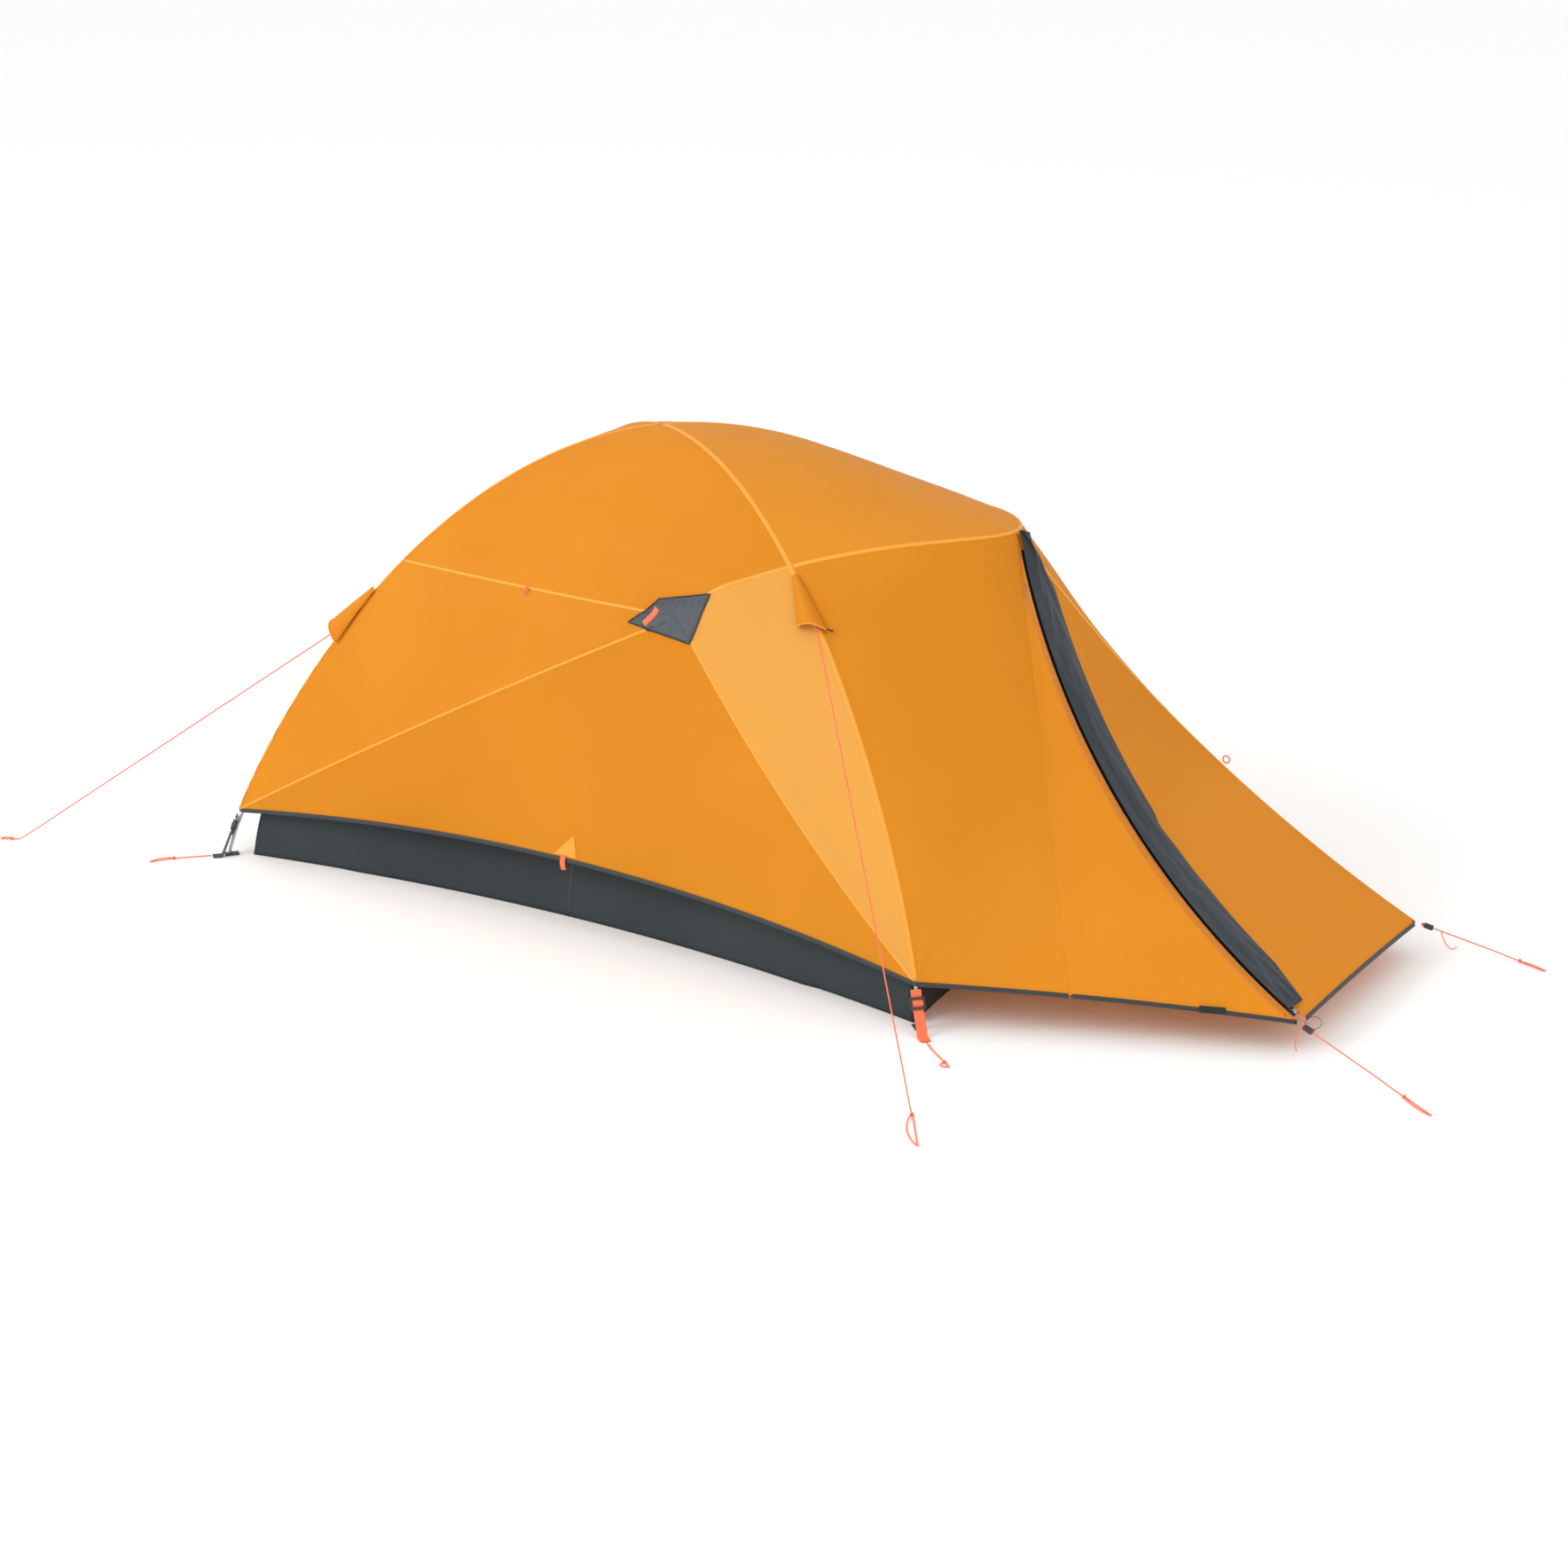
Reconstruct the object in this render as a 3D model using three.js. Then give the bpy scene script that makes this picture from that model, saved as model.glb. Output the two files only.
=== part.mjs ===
// Two-person dome tent with a pointed front porch: two long arch poles that cross at the top,
// one short brow pole over the door, an inner tent hung under the poles and a flysheet over them.
// Millimetres. +X points out of the porch, +Y to the far side, +Z up. The ground is z = 0.
// Every place is first given from the middle of the floor, and the last lines move the whole
// tent so that its own middle, without the free cords, stands over the origin.
import * as THREE from 'three';

// ---------------------------------------------------------------- driving dimensions
const FLOOR_LENGTH = 2130;
const FLOOR_WIDTH_REAR = 1190;
const FLOOR_WIDTH_FRONT = 1350;
const APEX_HEIGHT = 1163;
const FRONT_LEG_SHAPE = 1.43;
const REAR_LEG_SHAPE = 1.667;

const PORCH_PEAK_X = 941;
const PORCH_PEAK_HEIGHT = 1024;
const PORCH_CORNER_X = 1872;
const PORCH_CORNER_HALF_WIDTH = 360;
const PORCH_HEM_HEIGHT = 85;
const PORCH_EDGE_SAG = 113;
const DOOR_FOLD_SHARE = 0.4;

const BROW_CROSSING_X = 520;
const BROW_SPREAD = 2.2;
const BROW_TIP_HALF_WIDTH = 430;
const SEAM_CORNER_BEHIND_TIP = 107.7;
const SEAM_CORNER_OUTSIDE_TIP = 10;
const SEAM_CORNER_BELOW_TIP = 85.17;

const POLE_DIAMETER = 9;
const FABRIC_THICKNESS = 1.2;
const POLE_TO_FLY_GAP = 6;
const FRONT_LEG_FROM_WALL = 1;
const REAR_LEG_FROM_WALL = 0.35;
const SEAM_GAP = 3;
const TOUCH_GAP = 0.4;

const REAR_HEM_HEIGHT = 125;
const FRONT_HEM_HEIGHT = 110;
const SIDE_HEM_RISE = 60;
const SIDE_HEM_BOW = 65;
const REAR_HEM_BOW = 45;
const HEM_TAPE_WIDTH = 12;
const HEM_TAPE_THICKNESS = 1.6;
const HEM_TAPE_FLARE = 5;

const TUB_WALL_HEIGHT = 190;
const TUB_SIDE_BOW = 100;
const TUB_END_BOW = 40;
const TUB_TOP_INSET = 34;
const TUB_THICKNESS = 1.5;
const INNER_TENT_GAP = 45;
const INNER_DOOR_LEFT = 0.24;
const INNER_DOOR_RIGHT = 0.76;
const INNER_DOOR_SILL = 0.06;
const INNER_DOOR_HEAD = 0.6;
const INNER_ZIP_GAP = 16;

const ZIP_TAPE_WIDTH = 30;
const ZIP_TAPE_THICKNESS = 1;
const ZIP_FACE_ANGLE = 60;
const ZIP_SLIDER_LENGTH = 18;
const ZIP_SLIDER_WIDTH = 12;
const ZIP_SLIDER_HEIGHT = 6;
const ZIP_FLAP_OVERHANG = 33;
const ZIP_FLAP_LIFT = 11;

const WEBBING_WIDTH = 25;
const WEBBING_THICKNESS = 1.8;
const BUCKLE_WIDTH = 36;
const BUCKLE_BAR = 4;
const LADDER_PITCH = 12;
const LADDER_FROM_HEM = 21;
const STRAP_TAIL = 24;
const CORNER_TAB_LENGTH = 36;
const HEM_ANCHOR_WIDTH = 84;
const HEM_ANCHOR_HEIGHT = 62;
const HEM_ANCHOR_LIFT = 5;
const FRONT_STRAP_PAST_FOOT = 54.03;
const REAR_STRAP_PAST_FOOT = 17.29;
const HOOD_HALF_WIDTH = 38;
const HOOD_RISE = 22;
const HOOD_EDGE_DROP = 0.22;
const CORD_DIAMETER = 3.2;
const CLIP_RADIUS = 14;
const CLIP_HALF_HEIGHT = 6;
const CLIP_BELOW_POLE = 2.4;
const LINE_LOCK_BORE = 4.4;

const COLOURS = {
  fly: 0xf09b26,
  shaded: 0xd97a22,
  charcoal: 0x43484a,
  patch: 0x6a6f76,
  inner: 0xd8d2c4,
  webbing: 0xf57d4b,
  black: 0x232326,
  alloy: 0xb9bcc0,
};

const HALF_LENGTH = FLOOR_LENGTH / 2;
const HALF_REAR = FLOOR_WIDTH_REAR / 2;
const HALF_FRONT = FLOOR_WIDTH_FRONT / 2;
const POLE_RADIUS = POLE_DIAMETER / 2;
const POLE_FOOT_HEIGHT = WEBBING_THICKNESS + 1.2;
const NEAR = -1;
const FAR = 1;
const UP = new THREE.Vector3(0, 0, 1);

// ---------------------------------------------------------------- small helpers
const point = (x, y, z) => new THREE.Vector3(x, y, z);
const mix = (a, b, t) => a + (b - a) * t;
const mixPoints = (a, b, t) => a.clone().lerp(b, t);
const hump = (t) => 4 * t * (1 - t);
const degrees = THREE.MathUtils.degToRad;

function tangentOf(curve, t) {
  const step = 0.002;
  const start = curve(Math.max(0, t - step));
  return curve(Math.min(1, t + step)).sub(start).normalize();
}

const tent = new THREE.Group();
const cordNames = [];

function add(name, geometry, colour, roughness = 0.7, metalness = 0) {
  const material = new THREE.MeshStandardMaterial({ color: colour, roughness, metalness });
  const mesh = new THREE.Mesh(geometry, material);
  mesh.name = name;
  tent.add(mesh);
  return mesh;
}

// A closed sheet over a rectangle of (u, v): the outer face is surface(u, v) and the inner
// face lies one thickness behind it. inside is a point on the inner side. hole leaves out the
// squares of the grid from column and row `from` up to `to`.
function sheet(surface, across, along, thickness, inside, hole = null) {
  const rows = along + 1;
  const columns = across + 1;
  const outer = [];
  const inner = [];
  const step = 0.004;
  for (let j = 0; j < rows; j += 1) {
    for (let i = 0; i < columns; i += 1) {
      const u = i / across;
      const v = j / along;
      const place = surface(u, v);
      const alongU = surface(Math.min(1, u + step), v).sub(surface(Math.max(0, u - step), v));
      const alongV = surface(u, Math.min(1, v + step)).sub(surface(u, Math.max(0, v - step)));
      const normal = alongU.cross(alongV).normalize();
      if (normal.dot(inside.clone().sub(place)) > 0) {
        normal.negate();
      }
      outer.push(place);
      inner.push(place.clone().addScaledVector(normal, -thickness));
    }
  }
  const vertices = outer.concat(inner);
  const back = outer.length;
  const at = (i, j) => j * columns + i;
  const triangles = [];
  const quad = (a, b, c, d) => triangles.push([a, b, c], [a, c, d]);
  const open = (i, j) => hole !== null
    && i >= hole.from[0] && i < hole.to[0] && j >= hole.from[1] && j < hole.to[1];
  const rim = (a, b) => quad(back + a, back + b, b, a);
  for (let j = 0; j < along; j += 1) {
    for (let i = 0; i < across; i += 1) {
      if (open(i, j)) {
        continue;
      }
      quad(at(i, j), at(i + 1, j), at(i + 1, j + 1), at(i, j + 1));
      quad(back + at(i, j), back + at(i, j + 1), back + at(i + 1, j + 1), back + at(i + 1, j));
      if (open(i, j - 1)) {
        rim(at(i, j), at(i + 1, j));
      }
      if (open(i, j + 1)) {
        rim(at(i + 1, j + 1), at(i, j + 1));
      }
      if (open(i - 1, j)) {
        rim(at(i, j + 1), at(i, j));
      }
      if (open(i + 1, j)) {
        rim(at(i + 1, j), at(i + 1, j + 1));
      }
    }
  }
  for (let i = 0; i < across; i += 1) {
    quad(back + at(i, 0), back + at(i + 1, 0), at(i + 1, 0), at(i, 0));
    quad(at(i, along), at(i + 1, along), back + at(i + 1, along), back + at(i, along));
  }
  for (let j = 0; j < along; j += 1) {
    quad(at(0, j), at(0, j + 1), back + at(0, j + 1), back + at(0, j));
    quad(at(across, j + 1), at(across, j), back + at(across, j), back + at(across, j + 1));
  }
  return solidFrom(vertices, triangles);
}

// A solid from its corner points and triangles, turned so that its faces point out.
function solidFrom(vertices, triangles) {
  let volume = 0;
  for (const [a, b, c] of triangles) {
    volume += vertices[a].dot(vertices[b].clone().cross(vertices[c]));
  }
  const ordered = volume < 0 ? triangles.map(([a, b, c]) => [a, c, b]) : triangles;
  const geometry = new THREE.BufferGeometry();
  geometry.setAttribute(
    'position',
    new THREE.Float32BufferAttribute(vertices.flatMap((p) => [p.x, p.y, p.z]), 3),
  );
  geometry.setIndex(ordered.flat());
  geometry.computeVertexNormals();
  return geometry;
}

// The sheet of fabric stretched between four edge curves: bottom and top run with u, left and
// right run with v. A three-cornered panel has a top that is a single point.
function stretched(bottom, top, left, right) {
  const corners = [bottom(0), bottom(1), top(0), top(1)];
  return (u, v) => {
    const sides = mixPoints(left(v), right(v), u);
    const ends = mixPoints(bottom(u), top(u), v);
    const low = mixPoints(corners[0], corners[1], u);
    const high = mixPoints(corners[2], corners[3], u);
    return sides.add(ends).sub(mixPoints(low, high, v));
  };
}

// The same sheet kept back from its edges by margin, and from a pointed top by topMargin.
function trimmed(surface, margin, topMargin = margin) {
  const height = surface(0.5, 0).distanceTo(surface(0.5, 1));
  return (u, v) => {
    const row = mix(margin / height, 1 - topMargin / height, v);
    const width = surface(0, row).distanceTo(surface(1, row));
    return surface(mix(margin / width, 1 - margin / width, u), row);
  };
}

// A round bar along a curve.
function roundBar(curve, diameter, steps, sides = 8) {
  const section = new THREE.Shape();
  for (let i = 0; i < sides; i += 1) {
    const angle = (i / sides) * 2 * Math.PI;
    const across = (diameter / 2) * Math.cos(angle);
    const up = (diameter / 2) * Math.sin(angle);
    if (i === 0) {
      section.moveTo(across, up);
    } else {
      section.lineTo(across, up);
    }
  }
  section.closePath();
  return new THREE.ExtrudeGeometry(section, { steps, extrudePath: curve, bevelEnabled: false });
}

class FormulaCurve extends THREE.Curve {
  constructor(formula) {
    super();
    this.formula = formula;
  }

  getPoint(t) {
    return this.formula(t);
  }
}

// A flat strap that follows a bent line. sideLine holds [forward, up] pairs seen from the
// strap's edge, and the strap is as wide as webbing along its own third direction.
function strap(sideLine, width, thickness) {
  const line = sideLine.map(([x, y]) => new THREE.Vector2(x, y));
  const normals = line.map((p, i) => {
    const before = line[Math.max(0, i - 1)];
    const after = line[Math.min(line.length - 1, i + 1)];
    const run = after.clone().sub(before).normalize();
    return new THREE.Vector2(-run.y, run.x);
  });
  const half = thickness / 2;
  const front = line.map((p, i) => p.clone().addScaledVector(normals[i], half));
  const behind = line.map((p, i) => p.clone().addScaledVector(normals[i], -half));
  const shape = new THREE.Shape(front.concat(behind.reverse()));
  const geometry = new THREE.ExtrudeGeometry(shape, { depth: width, bevelEnabled: false });
  geometry.translate(0, 0, -width / 2);
  return geometry;
}

// Stands a shape drawn in a local frame at a place: its x runs along forward and its y along up.
function standAt(geometry, place, forward, up) {
  const side = forward.clone().cross(up).normalize();
  const basis = new THREE.Matrix4().makeBasis(forward.clone().normalize(), up.clone().normalize(), side);
  basis.setPosition(place);
  return geometry.applyMatrix4(basis);
}

// ---------------------------------------------------------------- the arch poles' lines
// Each arch pole stands in one upright plane from a front foot to the opposite rear foot.
// turn runs from -90 degrees at the rear foot over 0 at the top to 90 at the front foot.
const PLANE_SLOPE = (HALF_FRONT + HALF_REAR) / FLOOR_LENGTH;
const PLANE_START = HALF_FRONT - PLANE_SLOPE * HALF_LENGTH;
const CROSSING_X = -PLANE_START / PLANE_SLOPE;

function archPoint(side, turn) {
  const x = HALF_LENGTH * Math.sin(turn);
  const shape = turn > 0 ? FRONT_LEG_SHAPE : REAR_LEG_SHAPE;
  const z = APEX_HEIGHT * Math.max(0, Math.cos(turn)) ** shape;
  return point(x, side * (PLANE_START + PLANE_SLOPE * x), z);
}

// Inward direction square to the arch in its own upright plane.
function archInward(side, turn) {
  const step = 0.01;
  const run = archPoint(side, turn + step).sub(archPoint(side, turn - step)).normalize();
  const flat = point(1, side * PLANE_SLOPE, 0).normalize();
  const alongFlat = run.dot(flat);
  const inward = flat.multiplyScalar(run.z).addScaledVector(UP, -alongFlat);
  return inward.normalize();
}

// Inward direction between the two walls that meet on a leg, level at the top of the arch.
function legInward(side, turn) {
  const place = archPoint(side, turn);
  const fromWall = turn > 0 ? FRONT_LEG_FROM_WALL : REAR_LEG_FROM_WALL;
  const inward = archInward(side, turn);
  inward.y -= fromWall * Math.max(-1, Math.min(1, place.y / 300));
  return inward.normalize();
}

function turnAtHeight(height, shape) {
  return Math.acos((height / APEX_HEIGHT) ** (1 / shape));
}

const CROSSING_TURN = Math.asin(CROSSING_X / HALF_LENGTH);
const BROW_TURN = Math.asin(BROW_CROSSING_X / HALF_LENGTH);
const FRONT_HEM_TURN = turnAtHeight(FRONT_HEM_HEIGHT, FRONT_LEG_SHAPE);
const REAR_HEM_TURN = -turnAtHeight(REAR_HEM_HEIGHT, REAR_LEG_SHAPE);
const REAR_SEAM_TURN = -turnAtHeight(0.69 * APEX_HEIGHT, REAR_LEG_SHAPE);

const apex = archPoint(NEAR, CROSSING_TURN);
const archRun = (side, from, to) => (t) => archPoint(side, mix(from, to, t));

// The front leg on a side belongs to that side's arch, the rear leg to the other side's arch.
const frontLeg = (side, from, to) => archRun(side, from, to);
const rearLeg = (side, from, to) => archRun(-side, from, to);

// ---------------------------------------------------------------- the brow pole's line
const porchPeak = point(PORCH_PEAK_X, 0, PORCH_PEAK_HEIGHT);
const browCrossing = archPoint(NEAR, BROW_TURN);
const BROW_REACH = PORCH_PEAK_X - browCrossing.x;
const browWide = BROW_SPREAD * Math.abs(browCrossing.y);
const BROW_NOSE = (browWide ** 2 - BROW_REACH ** 2) / (2 * BROW_REACH);
const BROW_DROOP = (PORCH_PEAK_HEIGHT - browCrossing.z) / BROW_REACH ** 2;

function browPoint(y) {
  const back = Math.hypot(BROW_NOSE, BROW_SPREAD * y) - BROW_NOSE;
  return point(PORCH_PEAK_X - back, y, PORCH_PEAK_HEIGHT - BROW_DROOP * back ** 2);
}

// ---------------------------------------------------------------- seams of the flysheet
const browTip = (side) => browPoint(side * BROW_TIP_HALF_WIDTH);
const seamCorner = (side) =>
  browTip(side).add(point(-SEAM_CORNER_BEHIND_TIP, side * SEAM_CORNER_OUTSIDE_TIP, -SEAM_CORNER_BELOW_TIP));

const frontHemCorner = (side) => archPoint(side, FRONT_HEM_TURN);
const rearHemCorner = (side) => archPoint(-side, REAR_HEM_TURN);
const porchCorner = (side) => point(PORCH_CORNER_X, side * PORCH_CORNER_HALF_WIDTH, PORCH_HEM_HEIGHT);

function seam(start, end, bow) {
  return (t) => mixPoints(start, end, t).addScaledVector(bow, hump(t));
}

const topSeam = (side) => seam(seamCorner(side), archPoint(-side, REAR_SEAM_TURN), point(0, side * -4, -6));
const rearSeam = (side) => seam(seamCorner(side), rearHemCorner(side), point(0, side * 12, 14));
const frontSeam = (side) => seam(seamCorner(side), frontHemCorner(side), point(-30, side * 6, -10));
const sideHem = (side) =>
  seam(rearHemCorner(side), frontHemCorner(side), point(0, side * -SIDE_HEM_BOW, SIDE_HEM_RISE));
const rearHem = seam(rearHemCorner(NEAR), rearHemCorner(FAR), point(REAR_HEM_BOW, 0, SIDE_HEM_RISE / 2));

function browTail(side) {
  const crossing = archPoint(side, BROW_TURN);
  const middle = browPoint(mix(crossing.y, side * BROW_TIP_HALF_WIDTH, 0.5));
  const line = new THREE.CatmullRomCurve3([crossing, middle, browTip(side), seamCorner(side)]);
  return (t) => line.getPoint(t);
}

// The porch edge is an arc of a circle from the porch corner up to the peak. The near one
// carries the zip, and its circle's axis is the line that the zip's slider turns about.
function porchArc(side) {
  const low = porchCorner(side);
  const chord = porchPeak.clone().sub(low);
  const length = chord.length();
  const run = chord.clone().normalize();
  const sagAim = point(-0.709, side * 0.479, -0.519);
  const outward = sagAim.addScaledVector(run, -sagAim.dot(run)).normalize();
  const radius = (length ** 2 / 4 + PORCH_EDGE_SAG ** 2) / (2 * PORCH_EDGE_SAG);
  const centre = mixPoints(low, porchPeak, 0.5).addScaledVector(outward, PORCH_EDGE_SAG - radius);
  const half = Math.asin(length / 2 / radius);
  const at = (t) => {
    const angle = mix(-half, half, t);
    return centre
      .clone()
      .addScaledVector(outward, radius * Math.cos(angle))
      .addScaledVector(run, radius * Math.sin(angle));
  };
  return { at, centre, axis: run.clone().cross(outward).normalize(), half };
}

const zipArc = porchArc(NEAR);
const farArc = porchArc(FAR);

// Directions at a place on the zip: along it, across it to the porch front, and out of the tent.
function zipFrame(t) {
  const place = zipArc.at(t);
  const along = tangentOf(zipArc.at, t);
  const toCentre = zipArc.centre.clone().sub(place).normalize();
  const sideways = zipArc.axis.clone().multiplyScalar(zipArc.axis.y > 0 ? 1 : -1);
  const angle = degrees(ZIP_FACE_ANGLE);
  const across = toCentre.multiplyScalar(Math.cos(angle)).addScaledVector(sideways, Math.sin(angle));
  const out = across.clone().cross(along).normalize();
  if (out.x < 0) {
    out.negate();
  }
  return { place, along, across, out };
}

const zipOffset = (t, across, out) => {
  const frame = zipFrame(t);
  return frame.place.addScaledVector(frame.across, across).addScaledVector(frame.out, out);
};

const FRONT_PANEL_START = ZIP_TAPE_WIDTH + 2 * SEAM_GAP;
const frontPanelNearEdge = (t) => zipOffset(t, FRONT_PANEL_START, 0);
const frontHem = seam(frontPanelNearEdge(0), farArc.at(0), point(0, 0, 6));
const frontPanel = stretched(
  frontHem,
  (u) => mixPoints(frontPanelNearEdge(1), farArc.at(1), u),
  frontPanelNearEdge,
  (v) => farArc.at(v),
);

const porchHem = (side) => seam(frontHemCorner(side), porchCorner(side), point(0, side * -14, 4));
const foldFoot = porchHem(NEAR)(DOOR_FOLD_SHARE);
const foldLine = (t) => mixPoints(foldFoot, porchPeak, t);

// ---------------------------------------------------------------- poles
function polePoint(side, turn, extraAtTop = 0) {
  const place = archPoint(side, turn);
  const fit = POLE_RADIUS + FABRIC_THICKNESS + POLE_TO_FLY_GAP;
  const nearBrow = Math.exp(-(((place.x - BROW_CROSSING_X) / 90) ** 2));
  const nearTop = Math.exp(-(((place.x - CROSSING_X) / 90) ** 2));
  const depth = fit + nearBrow * (POLE_DIAMETER + 6) + nearTop * extraAtTop;
  return place.addScaledVector(legInward(side, turn), depth);
}

// The turn at which a leg's centre line comes down to the foot height.
function footTurn(side, sign) {
  let low = 0.5;
  let high = Math.PI / 2;
  for (let i = 0; i < 40; i += 1) {
    const middle = (low + high) / 2;
    if (polePoint(side, sign * middle).z > POLE_FOOT_HEIGHT) {
      low = middle;
    } else {
      high = middle;
    }
  }
  return sign * low;
}

const FRONT_FOOT_TURN = footTurn(NEAR, 1);
const REAR_FOOT_TURN = footTurn(NEAR, -1);

const poleLine = (side, extraAtTop) =>
  new FormulaCurve((t) => polePoint(side, mix(REAR_FOOT_TURN, FRONT_FOOT_TURN, t), extraAtTop));

function makePoles() {
  const over = poleLine(NEAR, 0);
  const under = poleLine(FAR, POLE_DIAMETER + 1.5);
  add('arch_pole_upper', roundBar(over, POLE_DIAMETER, 44), COLOURS.alloy, 0.35, 0.9);
  add('arch_pole_lower', roundBar(under, POLE_DIAMETER, 44), COLOURS.alloy, 0.35, 0.9);

  const depth = POLE_RADIUS + FABRIC_THICKNESS + POLE_TO_FLY_GAP;
  const brow = new FormulaCurve((t) => {
    const y = mix(-BROW_TIP_HALF_WIDTH, BROW_TIP_HALF_WIDTH, t);
    const run = browPoint(y + 2).sub(browPoint(y - 2)).normalize();
    const inward = point(-1, -0.5 * (y / BROW_TIP_HALF_WIDTH), -1.1);
    inward.addScaledVector(run, -inward.dot(run)).normalize();
    return browPoint(y).addScaledVector(inward, depth);
  });
  add('brow_pole', roundBar(brow, POLE_DIAMETER, 28), COLOURS.alloy, 0.35, 0.9);
}

// ---------------------------------------------------------------- flysheet
const lowerSide = (side) =>
  stretched(
    sideHem(side),
    () => seamCorner(side),
    (v) => rearSeam(side)(1 - v),
    (v) => frontSeam(side)(1 - v),
  );

function makeFlyPanels() {
  const middle = point(0, 0, 300);
  const panel = (name, surface, across, along, colour, topMargin) =>
    add(name, sheet(trimmed(surface, SEAM_GAP, topMargin), across, along, FABRIC_THICKNESS, middle), colour);

  for (const [side, label] of [[NEAR, 'near'], [FAR, 'far']]) {
    const top = topSeam(side);
    const crossing = browTail(side);
    const corner = seamCorner(side);
    const toApex = rearLeg(side, REAR_SEAM_TURN, CROSSING_TURN);
    const upper = stretched(
      (u) => crossing(1 - u),
      (u) => toApex(u),
      (v) => top(v),
      (v) => frontLeg(side, BROW_TURN, CROSSING_TURN)(v),
    );
    panel(`fly_upper_side_${label}`, upper, 8, 10, COLOURS.fly);

    const rearSide = stretched(
      rearLeg(side, REAR_HEM_TURN, REAR_SEAM_TURN),
      () => corner.clone(),
      (v) => rearSeam(side)(1 - v),
      (v) => top(1 - v),
    );
    panel(`fly_rear_side_${label}`, rearSide, 6, 10, COLOURS.fly, 60);

    panel(`fly_lower_side_${label}`, lowerSide(side), 12, 8, COLOURS.fly, 50);

    const frontSide = stretched(
      (u) => crossing(1 - u),
      () => frontHemCorner(side),
      (v) => frontSeam(side)(v),
      (v) => frontLeg(side, BROW_TURN, FRONT_HEM_TURN)(v),
    );
    panel(`fly_front_side_${label}`, frontSide, 5, 10, COLOURS.fly, 70);
  }

  const rear = stretched(
    rearHem,
    () => apex.clone(),
    rearLeg(NEAR, REAR_HEM_TURN, CROSSING_TURN),
    rearLeg(FAR, REAR_HEM_TURN, CROSSING_TURN),
  );
  panel('fly_rear', rear, 8, 12, COLOURS.fly, 60);

  const roof = stretched(
    (u) => frontLeg(NEAR, CROSSING_TURN, BROW_TURN)(u),
    (u) => browPoint(mix(-browCrossing.y, 0, u)),
    (v) => frontLeg(FAR, CROSSING_TURN, BROW_TURN)(v),
    (v) => browPoint(mix(browCrossing.y, 0, v)),
  );
  panel('fly_roof_front', roof, 8, 8, COLOURS.shaded);

  const farPorch = stretched(
    porchHem(FAR),
    (u) => browPoint(mix(-browCrossing.y, 0, u)),
    (v) => frontLeg(FAR, FRONT_HEM_TURN, BROW_TURN)(v),
    (v) => farArc.at(v),
  );
  panel('fly_porch_far', farPorch, 8, 10, COLOURS.fly);

  const fixedPorch = stretched(
    (u) => porchHem(NEAR)(u * DOOR_FOLD_SHARE),
    (u) => browPoint(mix(browCrossing.y, 0, u)),
    (v) => frontLeg(NEAR, FRONT_HEM_TURN, BROW_TURN)(v),
    foldLine,
  );
  panel('fly_porch_near', fixedPorch, 8, 10, COLOURS.fly);

  const door = stretched(
    (u) => porchHem(NEAR)(mix(DOOR_FOLD_SHARE, 1, u)),
    () => porchPeak.clone(),
    foldLine,
    (v) => zipArc.at(v),
  );
  panel('porch_door', door, 6, 12, COLOURS.fly, 40);

  add(
    'fly_porch_front',
    sheet(trimmed(frontPanel, 1, 20), 8, 12, FABRIC_THICKNESS, middle),
    COLOURS.shaded,
  );
}

// ---------------------------------------------------------------- inner tent
const INNER_FOOT = TUB_WALL_HEIGHT + 2;
const INNER_FRONT_TURN = turnAtHeight(INNER_FOOT + 8, FRONT_LEG_SHAPE);
const INNER_REAR_TURN = -turnAtHeight(INNER_FOOT + 20, REAR_LEG_SHAPE);

const innerPoint = (side, turn) =>
  archPoint(side, turn).addScaledVector(legInward(side, turn), INNER_TENT_GAP);
const innerLeg = (side, from, to) => (t) => innerPoint(side, mix(from, to, t));
const innerFrontFoot = (side) => innerPoint(side, INNER_FRONT_TURN).setZ(INNER_FOOT);
const innerRearFoot = (side) => innerPoint(-side, INNER_REAR_TURN).setZ(INNER_FOOT);

// The inner tent's foot line on each of its four sides, taken anticlockwise from above.
const footSides = [
  { from: innerRearFoot(NEAR), to: innerFrontFoot(NEAR), bow: point(0, TUB_SIDE_BOW, 0) },
  { from: innerFrontFoot(NEAR), to: innerFrontFoot(FAR), bow: point(-TUB_END_BOW, 0, 0) },
  { from: innerFrontFoot(FAR), to: innerRearFoot(FAR), bow: point(0, -TUB_SIDE_BOW, 0) },
  { from: innerRearFoot(FAR), to: innerRearFoot(NEAR), bow: point(TUB_END_BOW, 0, 0) },
];
const footLine = (k, bowShare = 1) =>
  seam(footSides[k].from, footSides[k].to, footSides[k].bow.clone().multiplyScalar(bowShare));

const innerApex = innerPoint(NEAR, CROSSING_TURN);
const innerMiddle = point(0, 0, 300);

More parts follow.
